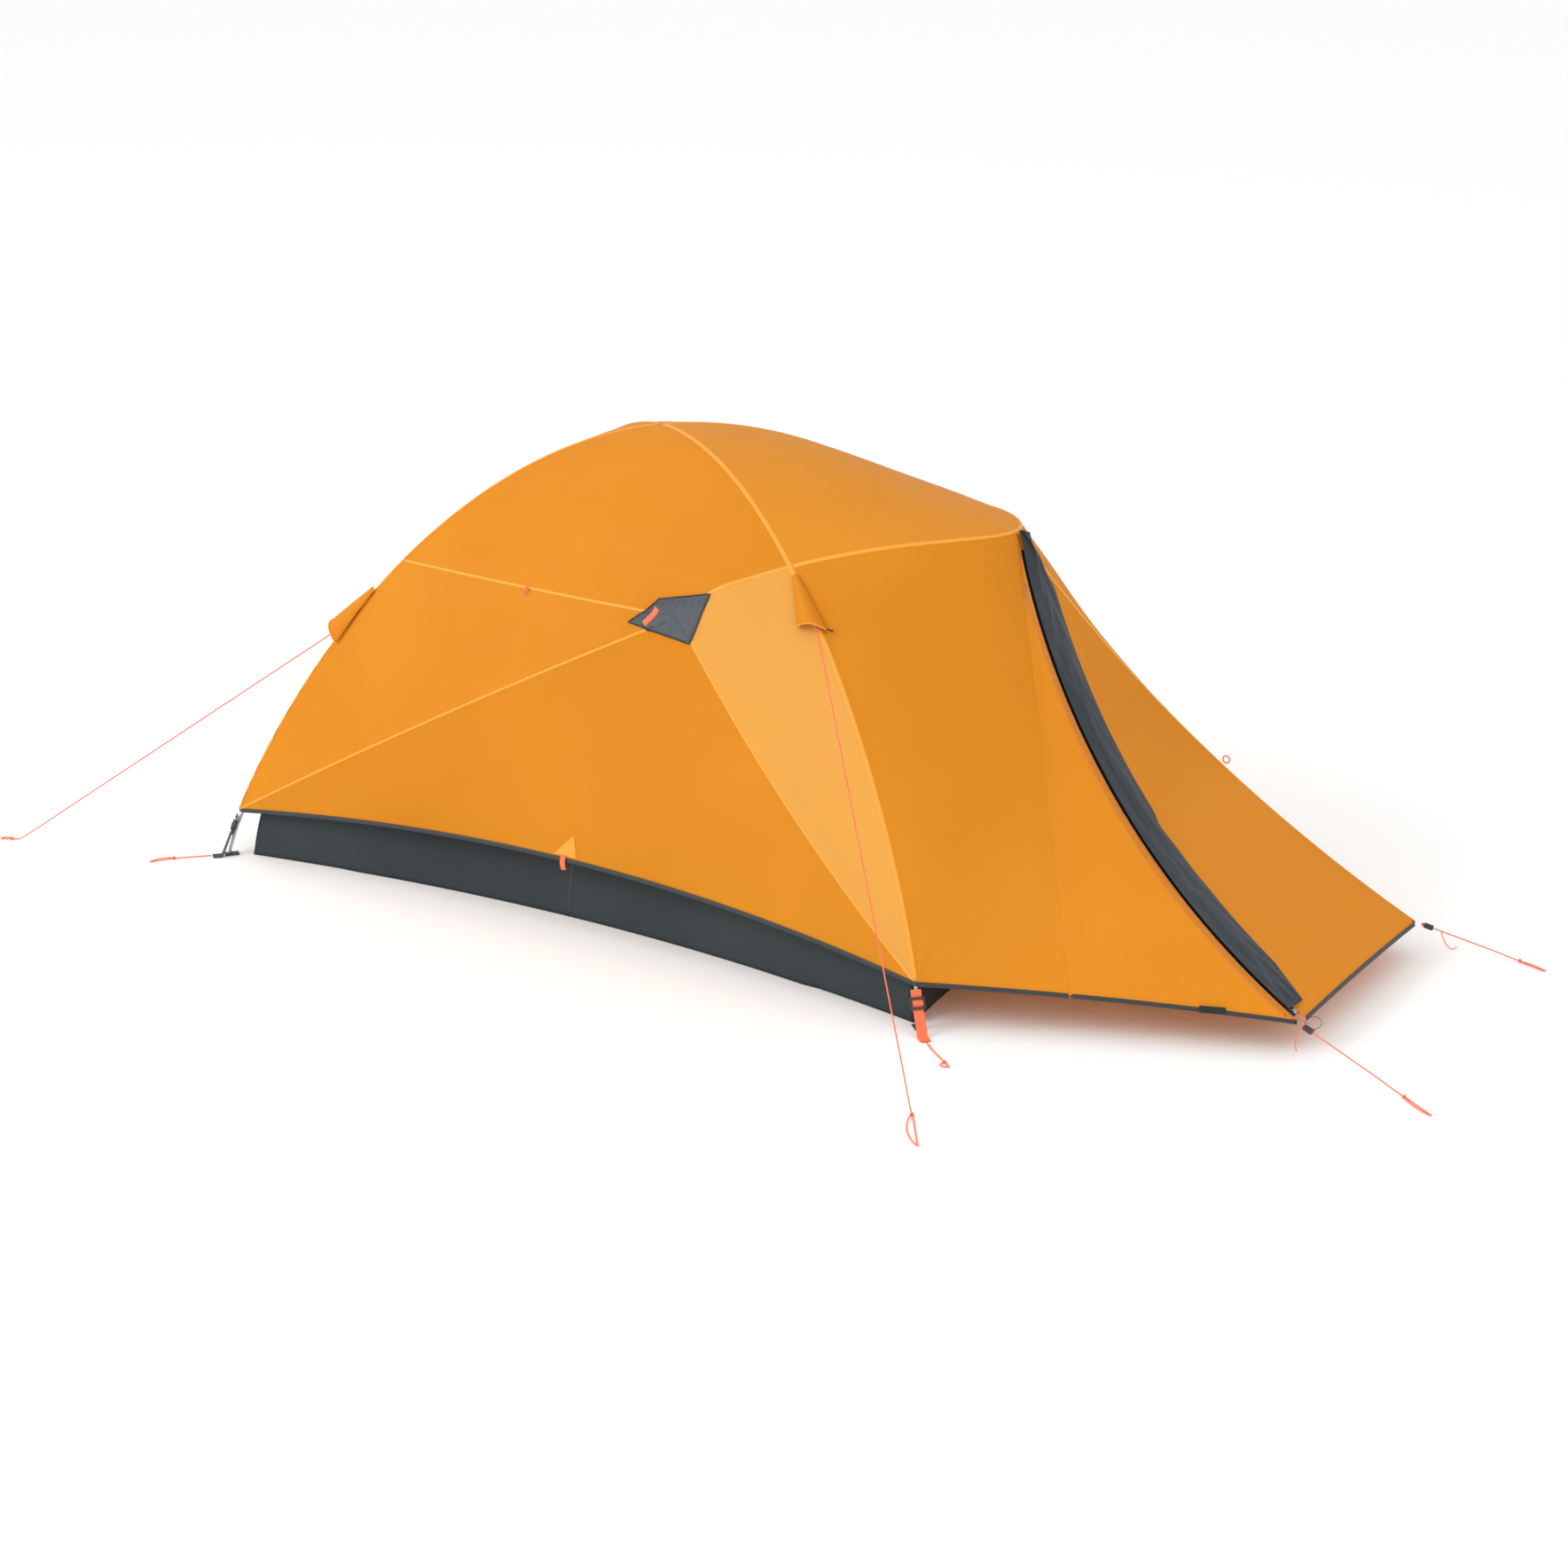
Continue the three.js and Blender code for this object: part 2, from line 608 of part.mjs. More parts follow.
function makeInnerTent() {
  const wall = (k, leftLeg, rightLeg) =>
    stretched(footLine(k), () => innerApex.clone(), leftLeg, rightLeg);
  const front = (side) => innerLeg(side, INNER_FRONT_TURN, CROSSING_TURN);
  const rear = (side) => innerLeg(-side, INNER_REAR_TURN, CROSSING_TURN);
  const walls = [
    ['inner_wall_near', wall(0, rear(NEAR), front(NEAR))],
    ['inner_wall_far', wall(2, front(FAR), rear(FAR))],
    ['inner_wall_rear', wall(3, rear(FAR), rear(NEAR))],
  ];
  for (const [name, surface] of walls) {
    const cloth = sheet(trimmed(surface, SEAM_GAP, 50), 8, 9, FABRIC_THICKNESS, innerMiddle);
    add(name, cloth, COLOURS.inner);
  }

  const doorWall = trimmed(wall(1, front(NEAR), front(FAR)), SEAM_GAP, 50);
  const across = 8;
  const along = 10;
  const hole = {
    from: [Math.round(INNER_DOOR_LEFT * across), Math.round(INNER_DOOR_SILL * along)],
    to: [Math.round(INNER_DOOR_RIGHT * across), Math.round(INNER_DOOR_HEAD * along)],
  };
  const cloth = sheet(doorWall, across, along, FABRIC_THICKNESS, innerMiddle, hole);
  add('inner_wall_front', cloth, COLOURS.inner);

  const doorway = (u, v) =>
    doorWall(
      mix(hole.from[0] / across, hole.to[0] / across, u),
      mix(hole.from[1] / along, hole.to[1] / along, v),
    );
  const doorSurface = trimmed(doorway, INNER_ZIP_GAP);
  add('inner_door', sheet(doorSurface, 6, 8, FABRIC_THICKNESS, innerMiddle), COLOURS.inner);
  tent.userData.innerDoorHinge = [doorSurface(1, 0), doorSurface(1, 1)];

  // The slider runs up the open side of the inner doorway, in the middle of its zip.
  const low = mixPoints(doorway(0, 0.04), doorSurface(0, 0.02), 0.5);
  const high = mixPoints(doorway(0, 0.9), doorSurface(0, 0.9), 0.5);
  const slider = new THREE.BoxGeometry(7, 5, 14);
  slider.translate(-2, 0, 0);
  const run = high.clone().sub(low).normalize();
  const turned = new THREE.Quaternion().setFromUnitVectors(UP, run);
  slider.applyQuaternion(turned);
  slider.translate(low.x, low.y, low.z);
  add('inner_door_slider', slider, COLOURS.black, 0.4, 0.2);
  tent.userData.innerSliderRun = [low, high];
}

// The floor is a tray of coated cloth. Its wall rises to the foot line of the inner tent.
function makeTub() {
  const perSide = 8;
  const ring = (height, bottom, inset) => {
    const points = [];
    for (let k = 0; k < footSides.length; k += 1) {
      const line = footLine(k);
      for (let i = 0; i < perSide; i += 1) {
        const place = line(i / perSide);
        const reach = (bottom ? TUB_TOP_INSET : 0) - inset;
        const grow = (value) => value + Math.sign(value) * reach;
        points.push(point(grow(place.x), grow(place.y), height));
      }
    }
    return points;
  };
  const rings = [
    ring(0, true, 0),
    ring(TUB_WALL_HEIGHT, false, 0),
    ring(TUB_WALL_HEIGHT, false, TUB_THICKNESS),
    ring(TUB_THICKNESS, true, TUB_THICKNESS),
  ];
  const count = rings[0].length;
  const triangles = [];
  for (let level = 0; level < rings.length - 1; level += 1) {
    for (let i = 0; i < count; i += 1) {
      const next = (i + 1) % count;
      const low = level * count;
      const high = low + count;
      triangles.push([low + i, low + next, high + next], [low + i, high + next, high + i]);
    }
  }
  const flat = (points) => points.map((p) => new THREE.Vector2(p.x, p.y));
  for (const [a, b, c] of THREE.ShapeUtils.triangulateShape(flat(rings[0]), [])) {
    triangles.push([a, c, b]);
  }
  const top = 3 * count;
  for (const [a, b, c] of THREE.ShapeUtils.triangulateShape(flat(rings[3]), [])) {
    triangles.push([top + a, top + b, top + c]);
  }
  add('tub_floor', solidFrom(rings.flat(), triangles), COLOURS.charcoal, 0.6);
}

// ---------------------------------------------------------------- trim on the flysheet
function makeApexClip() {
  const flatRadius = CLIP_RADIUS - 3;
  const half = CLIP_HALF_HEIGHT;
  const rim = [[0, -half], [flatRadius, -half], [CLIP_RADIUS, 3 - half], [CLIP_RADIUS, half - 3],
    [flatRadius, half], [0, half]];
  const profile = rim.map(([r, z]) => new THREE.Vector2(r, z));
  const clip = new THREE.LatheGeometry(profile, 16);
  clip.rotateX(Math.PI / 2);
  const lowerPole = polePoint(FAR, CROSSING_TURN, POLE_DIAMETER + 1.5);
  const below = innerApex.clone().sub(lowerPole).normalize();
  const place = lowerPole.addScaledVector(below, POLE_RADIUS + CLIP_BELOW_POLE + half);
  clip.translate(place.x, place.y, place.z);
  add('apex_clip', clip, COLOURS.black, 0.5);
}

// A gathered diamond of cloth over each end of the brow pole, where the side seams meet.
function makeBrowPatches() {
  for (const [side, label] of [[NEAR, 'near'], [FAR, 'far']]) {
    const corner = seamCorner(side);
    const from = (x, y, z) => corner.clone().add(point(x, side * y, z));
    const left = from(-142, 32, -34);
    const top = from(-64, 6, 27);
    const right = from(92, 12, 69);
    const bottom = from(40, 32, -55);
    const surface = (u, v) => {
      const low = mixPoints(left, bottom, u);
      const high = mixPoints(top, right, u);
      const crown = point(0, side * 10, 0).multiplyScalar(hump(u) * hump(v));
      return mixPoints(low, high, v).add(crown);
    };
    add(`brow_patch_${label}`, sheet(surface, 6, 5, 2, point(250, 0, 700)), COLOURS.patch, 0.45);
  }
}

// A hood over the leg, open at its lower end, where a guy line is tied to the pole.
function makeHood(name, side, topTurn, lowTurn, length) {
  const top = archPoint(side, topTurn);
  const down = archPoint(side, lowTurn).sub(top).normalize();
  const out = legInward(side, (topTurn + lowTurn) / 2).negate();
  out.addScaledVector(down, -out.dot(down)).normalize();
  const across = down.clone().cross(out).normalize();
  const surface = (u, v) => {
    const turn = mix(topTurn, topTurn + (lowTurn - topTurn) * (length / 100), v);
    const angle = mix(Math.PI, 0, u);
    const half = mix(9, HOOD_HALF_WIDTH, v);
    const rise = mix(5, HOOD_RISE, v);
    const lift = 5 - HOOD_EDGE_DROP * half * Math.cos(angle) ** 2 + rise * Math.sin(angle);
    return archPoint(side, turn).addScaledVector(across, half * Math.cos(angle)).addScaledVector(out, lift);
  };
  const inside = archPoint(side, lowTurn).addScaledVector(out, -60);
  add(name, sheet(surface, 8, 4, 1.6, inside), COLOURS.fly);
}

function makeHoods() {
  const frontLow = Math.asin((BROW_CROSSING_X + 112) / HALF_LENGTH);
  const rearTop = REAR_SEAM_TURN - 0.075;
  for (const [side, label] of [[NEAR, 'near'], [FAR, 'far']]) {
    makeHood(`guy_hood_front_${label}`, side, BROW_TURN + 0.022, frontLow, 92);
    makeHood(`guy_hood_rear_${label}`, -side, rearTop, rearTop - 0.1, 92);
  }
}

// Binding tape sewn under the edge of the fly. One length runs from the door's fold round the
// whole tent to the front of the porch, and a short one closes the edge of the door.
function makeHemTapes() {
  const reversed = (line) => (t) => line(1 - t);
  const chain = [
    [(t) => porchHem(NEAR)(mix(DOOR_FOLD_SHARE, 0, t)), 3],
    [reversed(sideHem(NEAR)), 12],
    [rearHem, 8],
    [sideHem(FAR), 12],
    [(t) => porchHem(FAR)(t * 0.985), 6],
    [(t) => frontHem(mix(0.985, 0, t)), 5],
  ];
  const steps = chain.reduce((sum, [, count]) => sum + count, 0);
  const alongChain = (u) => {
    let left = u * steps;
    for (const [line, count] of chain) {
      if (left <= count) {
        return line(left / count);
      }
      left -= count;
    }
    return chain.at(-1)[0](1);
  };
  const tape = (line, trim) => (u, v) => {
    const place = line(mix(trim, 1 - trim, u));
    const outward = point(place.x / HALF_LENGTH, (1.6 * place.y) / HALF_REAR, 0).normalize();
    place.addScaledVector(outward, 1.5 + HEM_TAPE_FLARE * v);
    place.z -= 2 * TOUCH_GAP + HEM_TAPE_WIDTH * v;
    return place;
  };
  const round = sheet(tape(alongChain, 0.001), steps, 1, HEM_TAPE_THICKNESS, innerMiddle);
  add('hem_tape', round, COLOURS.charcoal, 0.8);
  const doorEdge = (u) => porchHem(NEAR)(mix(DOOR_FOLD_SHARE, 1, u));
  const doorTape = sheet(tape(doorEdge, 0.02), 5, 1, HEM_TAPE_THICKNESS, innerMiddle);
  add('door_hem_tape', doorTape, COLOURS.charcoal, 0.8);
}

// ---------------------------------------------------------------- porch zip
const ZIP_REST = 0.02;

function makeZip() {
  const tapeFace = (u, v) => zipOffset(mix(0.012, 0.965, v), SEAM_GAP + u * ZIP_TAPE_WIDTH, 0);
  add('zip_tape', sheet(tapeFace, 2, 24, ZIP_TAPE_THICKNESS, innerMiddle), COLOURS.black, 0.7);

  const frame = zipFrame(ZIP_REST);
  const profile = new THREE.Shape();
  const half = ZIP_SLIDER_LENGTH / 2;
  profile.moveTo(-half, 0);
  profile.lineTo(half, 0);
  profile.lineTo(half, ZIP_SLIDER_HEIGHT * 0.5);
  profile.quadraticCurveTo(half * 0.5, ZIP_SLIDER_HEIGHT, 0, ZIP_SLIDER_HEIGHT);
  profile.lineTo(-half, ZIP_SLIDER_HEIGHT * 0.6);
  profile.closePath();
  const body = new THREE.ExtrudeGeometry(profile, {
    depth: ZIP_SLIDER_WIDTH,
    bevelEnabled: false,
    curveSegments: 5,
  });
  body.translate(0, 0, -ZIP_SLIDER_WIDTH / 2);
  const seat = zipOffset(ZIP_REST, SEAM_GAP + ZIP_TAPE_WIDTH / 2, 0.5);
  add('zip_slider', standAt(body, seat, frame.along, frame.out), COLOURS.black, 0.35, 0.6);

  const pull = new THREE.TorusGeometry(9, 1.4, 6, 16);
  pull.scale(1.3, 0.55, 1);
  pull.rotateX(Math.PI / 2);
  const below = seat
    .clone()
    .addScaledVector(frame.along, -ZIP_SLIDER_LENGTH / 2 - 14)
    .addScaledVector(frame.out, 3);
  add('zip_pull', standAt(pull, below, frame.along, frame.out), COLOURS.webbing);
  tent.userData.zipArc = { centre: zipArc.centre, axis: zipArc.axis, half: zipArc.half };

  const flapEnd = 1 - 0.03;
  const flapFace = (u, v) => {
    const t = mix(0.05, flapEnd, v);
    const reach = u * (FRONT_PANEL_START + ZIP_FLAP_OVERHANG);
    if (reach <= FRONT_PANEL_START) {
      return zipOffset(t, SEAM_GAP + reach, ZIP_FLAP_LIFT);
    }
    const rowWidth = frontPanel(0, t).distanceTo(frontPanel(1, t));
    const share = Math.min(0.8, (reach - FRONT_PANEL_START) / rowWidth);
    return frontPanel(share, t).addScaledVector(zipFrame(t).out, ZIP_FLAP_LIFT);
  };
  add('zip_flap', sheet(flapFace, 4, 20, 1.6, innerMiddle), COLOURS.charcoal, 0.6);
}

// ---------------------------------------------------------------- corner fittings
// One foot of the tent: a flat tab under the pole's tip, the fly's strap and its ladder buckle.
function makeCorner(label, hemCorner, poleFoot, pastFoot, colour) {
  const outward = point(Math.sign(poleFoot.x) * 1, Math.sign(poleFoot.y) * 1, 0).normalize();
  const tab = new THREE.BoxGeometry(CORNER_TAB_LENGTH, WEBBING_WIDTH, WEBBING_THICKNESS);
  tab.translate(CORNER_TAB_LENGTH / 2, 0, WEBBING_THICKNESS / 2);
  tab.rotateZ(Math.atan2(outward.y, outward.x));
  const tabStart = poleFoot.clone().addScaledVector(outward, 10 - CORNER_TAB_LENGTH);
  tab.translate(tabStart.x, tabStart.y, 0);
  add(`corner_tab_${label}`, tab, COLOURS.black, 0.8);

  const start = hemCorner.clone().addScaledVector(outward, 3.3);
  start.z -= HEM_TAPE_WIDTH + 2;
  const reach = poleFoot.clone().sub(start).dot(outward) + pastFoot;
  const ground = start.clone().addScaledVector(outward, reach);
  ground.z = 3.2;
  const run = ground.clone().sub(start);
  const length = run.length();
  run.normalize();
  const out = outward.clone().addScaledVector(run, -outward.dot(run)).normalize();
  const bar = (k) => LADDER_FROM_HEM + k * LADDER_PITCH;
  const flat = Math.hypot(run.x, run.y);
  const weave = BUCKLE_BAR / 2 + WEBBING_THICKNESS / 2 + 0.4;
  const line = [[0, 0], [bar(0) - 10, 0]];
  for (let k = 0; k < 3; k += 1) {
    const lift = k === 1 ? weave : -weave;
    line.push([bar(k) - 3, lift], [bar(k) + 3, lift]);
  }
  line.push([bar(2) + 11, 0], [length - 8, 0], [length + 2, 1.6]);
  line.push([length + 2 + STRAP_TAIL * flat, 1.6 - STRAP_TAIL * run.z]);
  const webbing = standAt(strap(line, WEBBING_WIDTH, WEBBING_THICKNESS), start, run, out);
  add(`corner_strap_${label}`, webbing, colour, 0.8);

  const frameLength = 2 * LADDER_PITCH + BUCKLE_BAR;
  const halfWidth = BUCKLE_WIDTH / 2;
  const outline = new THREE.Shape([
    new THREE.Vector2(-frameLength / 2, -halfWidth),
    new THREE.Vector2(frameLength / 2, -halfWidth),
    new THREE.Vector2(frameLength / 2, halfWidth),
    new THREE.Vector2(-frameLength / 2, halfWidth),
  ]);
  for (const share of [-0.5, 0.5]) {
    const slot = new THREE.Path();
    const halfSlot = (LADDER_PITCH - BUCKLE_BAR) / 2;
    const middle = share * LADDER_PITCH;
    const reachSlot = WEBBING_WIDTH / 2 + 1.5 + share;
    slot.setFromPoints([
      new THREE.Vector2(middle - halfSlot, -reachSlot),
      new THREE.Vector2(middle - halfSlot, reachSlot),
      new THREE.Vector2(middle + halfSlot, reachSlot),
      new THREE.Vector2(middle + halfSlot, -reachSlot),
    ]);
    outline.holes.push(slot);
  }
  const buckle = new THREE.ExtrudeGeometry(outline, { depth: BUCKLE_BAR, bevelEnabled: false });
  buckle.translate(0, 0, -BUCKLE_BAR / 2);
  buckle.rotateX(Math.PI / 2);
  const seat = start.clone().addScaledVector(run, bar(1));
  add(`ladder_buckle_${label}`, standAt(buckle, seat, run, out), COLOURS.black, 0.4);
}

function makeCorners() {
  for (const [side, label] of [[NEAR, 'near'], [FAR, 'far']]) {
    const frontFoot = polePoint(side, FRONT_FOOT_TURN);
    const rearFoot = polePoint(-side, REAR_FOOT_TURN);
    const colour = COLOURS.webbing;
    makeCorner(`front_${label}`, frontHemCorner(side), frontFoot, FRONT_STRAP_PAST_FOOT, colour);
    makeCorner(`rear_${label}`, rearHemCorner(side), rearFoot, REAR_STRAP_PAST_FOOT, COLOURS.black);
  }
}

// Small three-cornered patches sewn over the hem in the middle of each long side.
function makeHemAnchors() {
  for (const [side, label] of [[NEAR, 'near'], [FAR, 'far']]) {
    const panel = lowerSide(side);
    const rise = seamCorner(side).distanceTo(sideHem(side)(0.49));
    const outward = point(0, side * 0.8, 0.6);
    const surface = (u, v) => {
      const half = mix(HEM_ANCHOR_WIDTH / 2, 5, v) / FLOOR_LENGTH;
      const height = (SEAM_GAP * 2 + HEM_ANCHOR_HEIGHT * v) / rise;
      return panel(mix(0.49 - half, 0.49 + half, u), height).addScaledVector(outward, HEM_ANCHOR_LIFT);
    };
    add(`hem_anchor_${label}`, sheet(surface, 2, 3, 1.6, innerMiddle), COLOURS.fly);
  }
}

function makeRidgeLoop() {
  const loop = new THREE.TorusGeometry(9, 1.8, 8, 18);
  loop.rotateX(Math.PI / 2);
  const place = farArc.at(0.44);
  loop.translate(place.x + 12, place.y + 6, place.z + 8);
  add('porch_ridge_loop', loop, COLOURS.webbing);
}

// ---------------------------------------------------------------- free cords
// Each route is a list of places that the middle of the cord passes, from the tent outwards.
const CORD_ROUTES = {
  guy_line_front_near: [
    [640, -433, 856], [762, -559, 690], [884, -685, 524], [1006, -811, 358], [1128, -937, 192],
    [1226, -1038, 59], [1262, -1076, 10], [1290, -1112, 2.4], [1328, -1170, 2.2], [1366, -1228, 2.2],
  ],
  guy_line_rear_near: [
    [-792, -440, 612], [-956, -511, 488], [-1120, -582, 364], [-1284, -653, 240], [-1448, -724, 116],
    [-1570, -777, 24], [-1600, -789, 4], [-1622, -799, 2.2], [-1648, -812, 2.2],
  ],
  porch_guy_near: [
    [1884, -364, 80], [1954, -385, 61], [2024, -406, 42], [2094, -427, 23], [2146, -443, 8],
    [2172, -452, 2.6], [2214, -481, 2.2], [2257, -512, 2.2],
  ],
  porch_guy_far: [
    [1884, 364, 80], [1940, 384, 61], [1996, 404, 42], [2052, 424, 23], [2093, 438, 8],
    [2114, 443, 2.6], [2150, 434, 2.2], [2187, 416, 2.2],
  ],
  stake_cord_front_near: [
    [1114, -732, 2.4], [1142, -758, 2.2], [1170, -782, 2.2], [1198, -804, 2.2], [1224, -826, 2.2],
  ],
  stake_cord_rear_near: [
    [-1084, -625, 2.4], [-1108, -646, 2.2], [-1132, -668, 2.2], [-1158, -694, 2.2], [-1192, -744, 2.2],
  ],
};

function makeCords() {
  for (const [name, route] of Object.entries(CORD_ROUTES)) {
    const line = new THREE.CatmullRomCurve3(route.map(([x, y, z]) => point(x, y, z)), false, 'centripetal');
    add(name, roundBar(line, CORD_DIAMETER, route.length * 2), COLOURS.webbing, 0.8);
    cordNames.push(name);
  }
}

// A line lock rides on each porch guy, on the straight run next to the tent.
function makeLineLocks() {
  for (const [side, label] of [[NEAR, 'near'], [FAR, 'far']]) {
    const [start, next] = CORD_ROUTES[`porch_guy_${label}`].map(([x, y, z]) => point(x, y, z));
    const run = next.clone().sub(start).normalize();
    const outline = new THREE.Shape();
    outline.absellipse(0, 0, 9, 6.5, 0, 2 * Math.PI, false, 0);
    const bore = new THREE.Path();
    bore.absellipse(0, 0, LINE_LOCK_BORE / 2, LINE_LOCK_BORE / 2, 0, 2 * Math.PI, true, 0);
    outline.holes.push(bore);
    const lock = new THREE.ExtrudeGeometry(outline, { depth: 22, bevelEnabled: false, curveSegments: 8 });
    lock.translate(0, 0, 8);
    const upright = UP.clone().addScaledVector(run, -UP.dot(run)).normalize();
    const basis = new THREE.Matrix4().makeBasis(upright.clone().cross(run), upright, run);
    basis.setPosition(start);
    lock.applyMatrix4(basis);
    add(`line_lock_${label}`, lock, COLOURS.black, 0.4);
    cordNames.push(`line_lock_${label}`);
    tent.userData[`lineLock_${side}`] = run;
  }
}

makePoles();
makeFlyPanels();
makeInnerTent();
makeTub();
makeApexClip();
makeBrowPatches();
makeHoods();
makeHemTapes();
makeZip();
makeCorners();
makeHemAnchors();
makeRidgeLoop();
makeCords();
makeLineLocks();

// The tent without its free cords stands with its middle over the origin.
const standing = new THREE.Box3();
for (const mesh of tent.children) {
  if (!cordNames.includes(mesh.name)) {
    standing.expandByObject(mesh);
  }
}
const standingMiddle = standing.getCenter(point(0, 0, 0));
tent.position.set(-standingMiddle.x, -standingMiddle.y, 0);
tent.userData.doorHinge = [foldFoot, porchPeak];

export default tent;
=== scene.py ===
"""A two-person dome tent with a pointed, zipped porch, pitched on level ground.

The fly is cut and sewn here as one sheet from the same lines that the frame's solids follow.
Lines are drawn in millimetres from the middle of the tent's floor, and on_ground() turns them
into metres in the frame's own place.
"""

import math

import bmesh
import bpy
import numpy as np
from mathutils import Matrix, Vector
from mathutils.bvhtree import BVHTree


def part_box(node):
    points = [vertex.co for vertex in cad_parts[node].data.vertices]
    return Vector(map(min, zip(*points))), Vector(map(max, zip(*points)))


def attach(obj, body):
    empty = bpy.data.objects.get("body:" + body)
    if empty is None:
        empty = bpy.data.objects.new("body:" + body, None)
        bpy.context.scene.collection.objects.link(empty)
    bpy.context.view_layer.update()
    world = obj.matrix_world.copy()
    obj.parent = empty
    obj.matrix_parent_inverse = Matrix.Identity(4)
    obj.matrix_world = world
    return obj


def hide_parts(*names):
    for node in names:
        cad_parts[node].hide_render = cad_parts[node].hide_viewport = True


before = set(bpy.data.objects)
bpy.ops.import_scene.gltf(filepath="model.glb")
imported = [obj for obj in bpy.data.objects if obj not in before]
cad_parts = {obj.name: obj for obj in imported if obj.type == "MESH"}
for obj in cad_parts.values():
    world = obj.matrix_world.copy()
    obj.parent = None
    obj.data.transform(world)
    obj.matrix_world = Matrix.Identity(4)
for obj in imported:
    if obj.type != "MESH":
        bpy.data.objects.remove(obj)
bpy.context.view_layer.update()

# ------------------------------------------------------------------ sizes, in millimetres
FLOOR_LENGTH = 2130
FLOOR_WIDTH_REAR = 1190
FLOOR_WIDTH_FRONT = 1350
APEX_HEIGHT = 1163
FRONT_LEG_SHAPE = 1.43
REAR_LEG_SHAPE = 1.667
PORCH_PEAK = (941, 0, 1024)
PORCH_CORNER_X = 1872
PORCH_CORNER_HALF_WIDTH = 360
PORCH_HEM_HEIGHT = 85
PORCH_EDGE_SAG = 113
DOOR_FOLD_SHARE = 0.4
BROW_CROSSING_X = 520
BROW_SPREAD = 2.2
BROW_TIP_HALF_WIDTH = 430
REAR_HEM_HEIGHT = 125
FRONT_HEM_HEIGHT = 110
SIDE_HEM_RISE = 60
SIDE_HEM_BOW = 65
REAR_HEM_BOW = 45
TUB_WALL_HEIGHT = 190
TUB_SIDE_BOW = 100
TUB_END_BOW = 40
TUB_TOP_INSET = 34
INNER_TENT_GAP = 45
ZIP_TAPE_WIDTH = 30
SEAM_GAP = 3
ZIP_FACE_ANGLE = 60
STORM_FLAP_OVER_FRONT = 82
CORD_DIAMETER = 3.2

MIDDLE_TO_FRAME = np.array([-396.9912719727, 0.0, 0.0])
HALF_LENGTH = FLOOR_LENGTH / 2
PLANE_SLOPE = (FLOOR_WIDTH_FRONT + FLOOR_WIDTH_REAR) / 2 / FLOOR_LENGTH
PLANE_START = FLOOR_WIDTH_FRONT / 2 - PLANE_SLOPE * HALF_LENGTH
NEAR, FAR = -1, 1
TENT = "tent_body"


# ------------------------------------------------------------------ lines and surfaces
def point(x, y, z):
    return np.stack(np.broadcast_arrays(*(np.asarray(c, float) for c in (x, y, z))), -1)


def mix(a, b, t):
    return a + (b - a) * t


def lerp(a, b, t):
    a, b = np.asarray(a, float), np.asarray(b, float)
    return a + (b - a) * np.asarray(t, float)[..., None]


def unit(v):
    return v / np.maximum(np.linalg.norm(v, axis=-1, keepdims=True), 1e-12)


def dot(a, b):
    return (a * b).sum(-1, keepdims=True)


def hump(t):
    return 4 * t * (1 - t)


def on_ground(points):
    """Millimetres from the middle of the floor, as metres in the frame."""
    return (np.asarray(points, float) + MIDDLE_TO_FRAME) * 0.001


def seam(start, end, bow):
    return lambda t: lerp(start, end, t) + np.asarray(bow, float) * hump(np.asarray(t, float))[..., None]


def smooth_line(points):
    """A smooth line through points, held a little tighter where they are close together."""
    pts = np.asarray(points, float)
    ends = np.vstack([2 * pts[0] - pts[1], pts, 2 * pts[-1] - pts[-2]])

    def at(t):
        place = np.asarray(t, float) * (len(pts) - 1)
        k = np.clip(np.floor(place).astype(int), 0, len(pts) - 2)
        w = (place - k)[..., None]
        p0, p1, p2, p3 = (ends[k + i] for i in range(4))
        a, b, c = (np.sqrt(np.maximum(np.linalg.norm(q - p, axis=-1, keepdims=True), 1e-9))
                   for p, q in ((p0, p1), (p1, p2), (p2, p3)))
        m1 = ((p1 - p0) / a - (p2 - p0) / (a + b) + (p2 - p1) / b) * b
        m2 = ((p2 - p1) / b - (p3 - p1) / (b + c) + (p3 - p2) / c) * b
        return (p1 + m1 * w + (-3 * p1 + 3 * p2 - 2 * m1 - m2) * w**2
                + (2 * p1 - 2 * p2 + m1 + m2) * w**3)

    return at


def stretched(bottom, top, left, right):
    """The cloth stretched between four edge lines. A pointed top is one point for every u."""
    corners = [bottom(0.0), bottom(1.0), top(0.0), top(1.0)]

    def at(u, v):
        sides = lerp(left(v), right(v), u)
        ends = lerp(bottom(u), top(u), v)
        return sides + ends - lerp(lerp(corners[0], corners[1], u), lerp(corners[2], corners[3], u), v)

    return at


def still(place):
    return lambda t: np.broadcast_to(place, np.shape(t) + (3,))


def arch_point(side, turn):
    turn = np.asarray(turn, float)
    x = HALF_LENGTH * np.sin(turn)
    shape = np.where(turn > 0, FRONT_LEG_SHAPE, REAR_LEG_SHAPE)
    z = APEX_HEIGHT * np.maximum(0, np.cos(turn)) ** shape
    return point(x, side * (PLANE_START + PLANE_SLOPE * x), z)


def leg_inward(side, turn, from_wall=(1, 0.35)):
    turn = np.asarray(turn, float)
    run = unit(arch_point(side, turn + 0.01) - arch_point(side, turn - 0.01))
    flat = unit(point(1, side * PLANE_SLOPE, 0))
    inward = unit(flat * run[..., 2:3] - np.array([0, 0, 1.0]) * dot(run, flat))
    place = arch_point(side, turn)
    inward[..., 1] -= np.where(turn > 0, *from_wall) * np.clip(place[..., 1] / 300, -1, 1)
    return unit(inward)


def turn_at_height(height, shape):
    return math.acos((height / APEX_HEIGHT) ** (1 / shape))


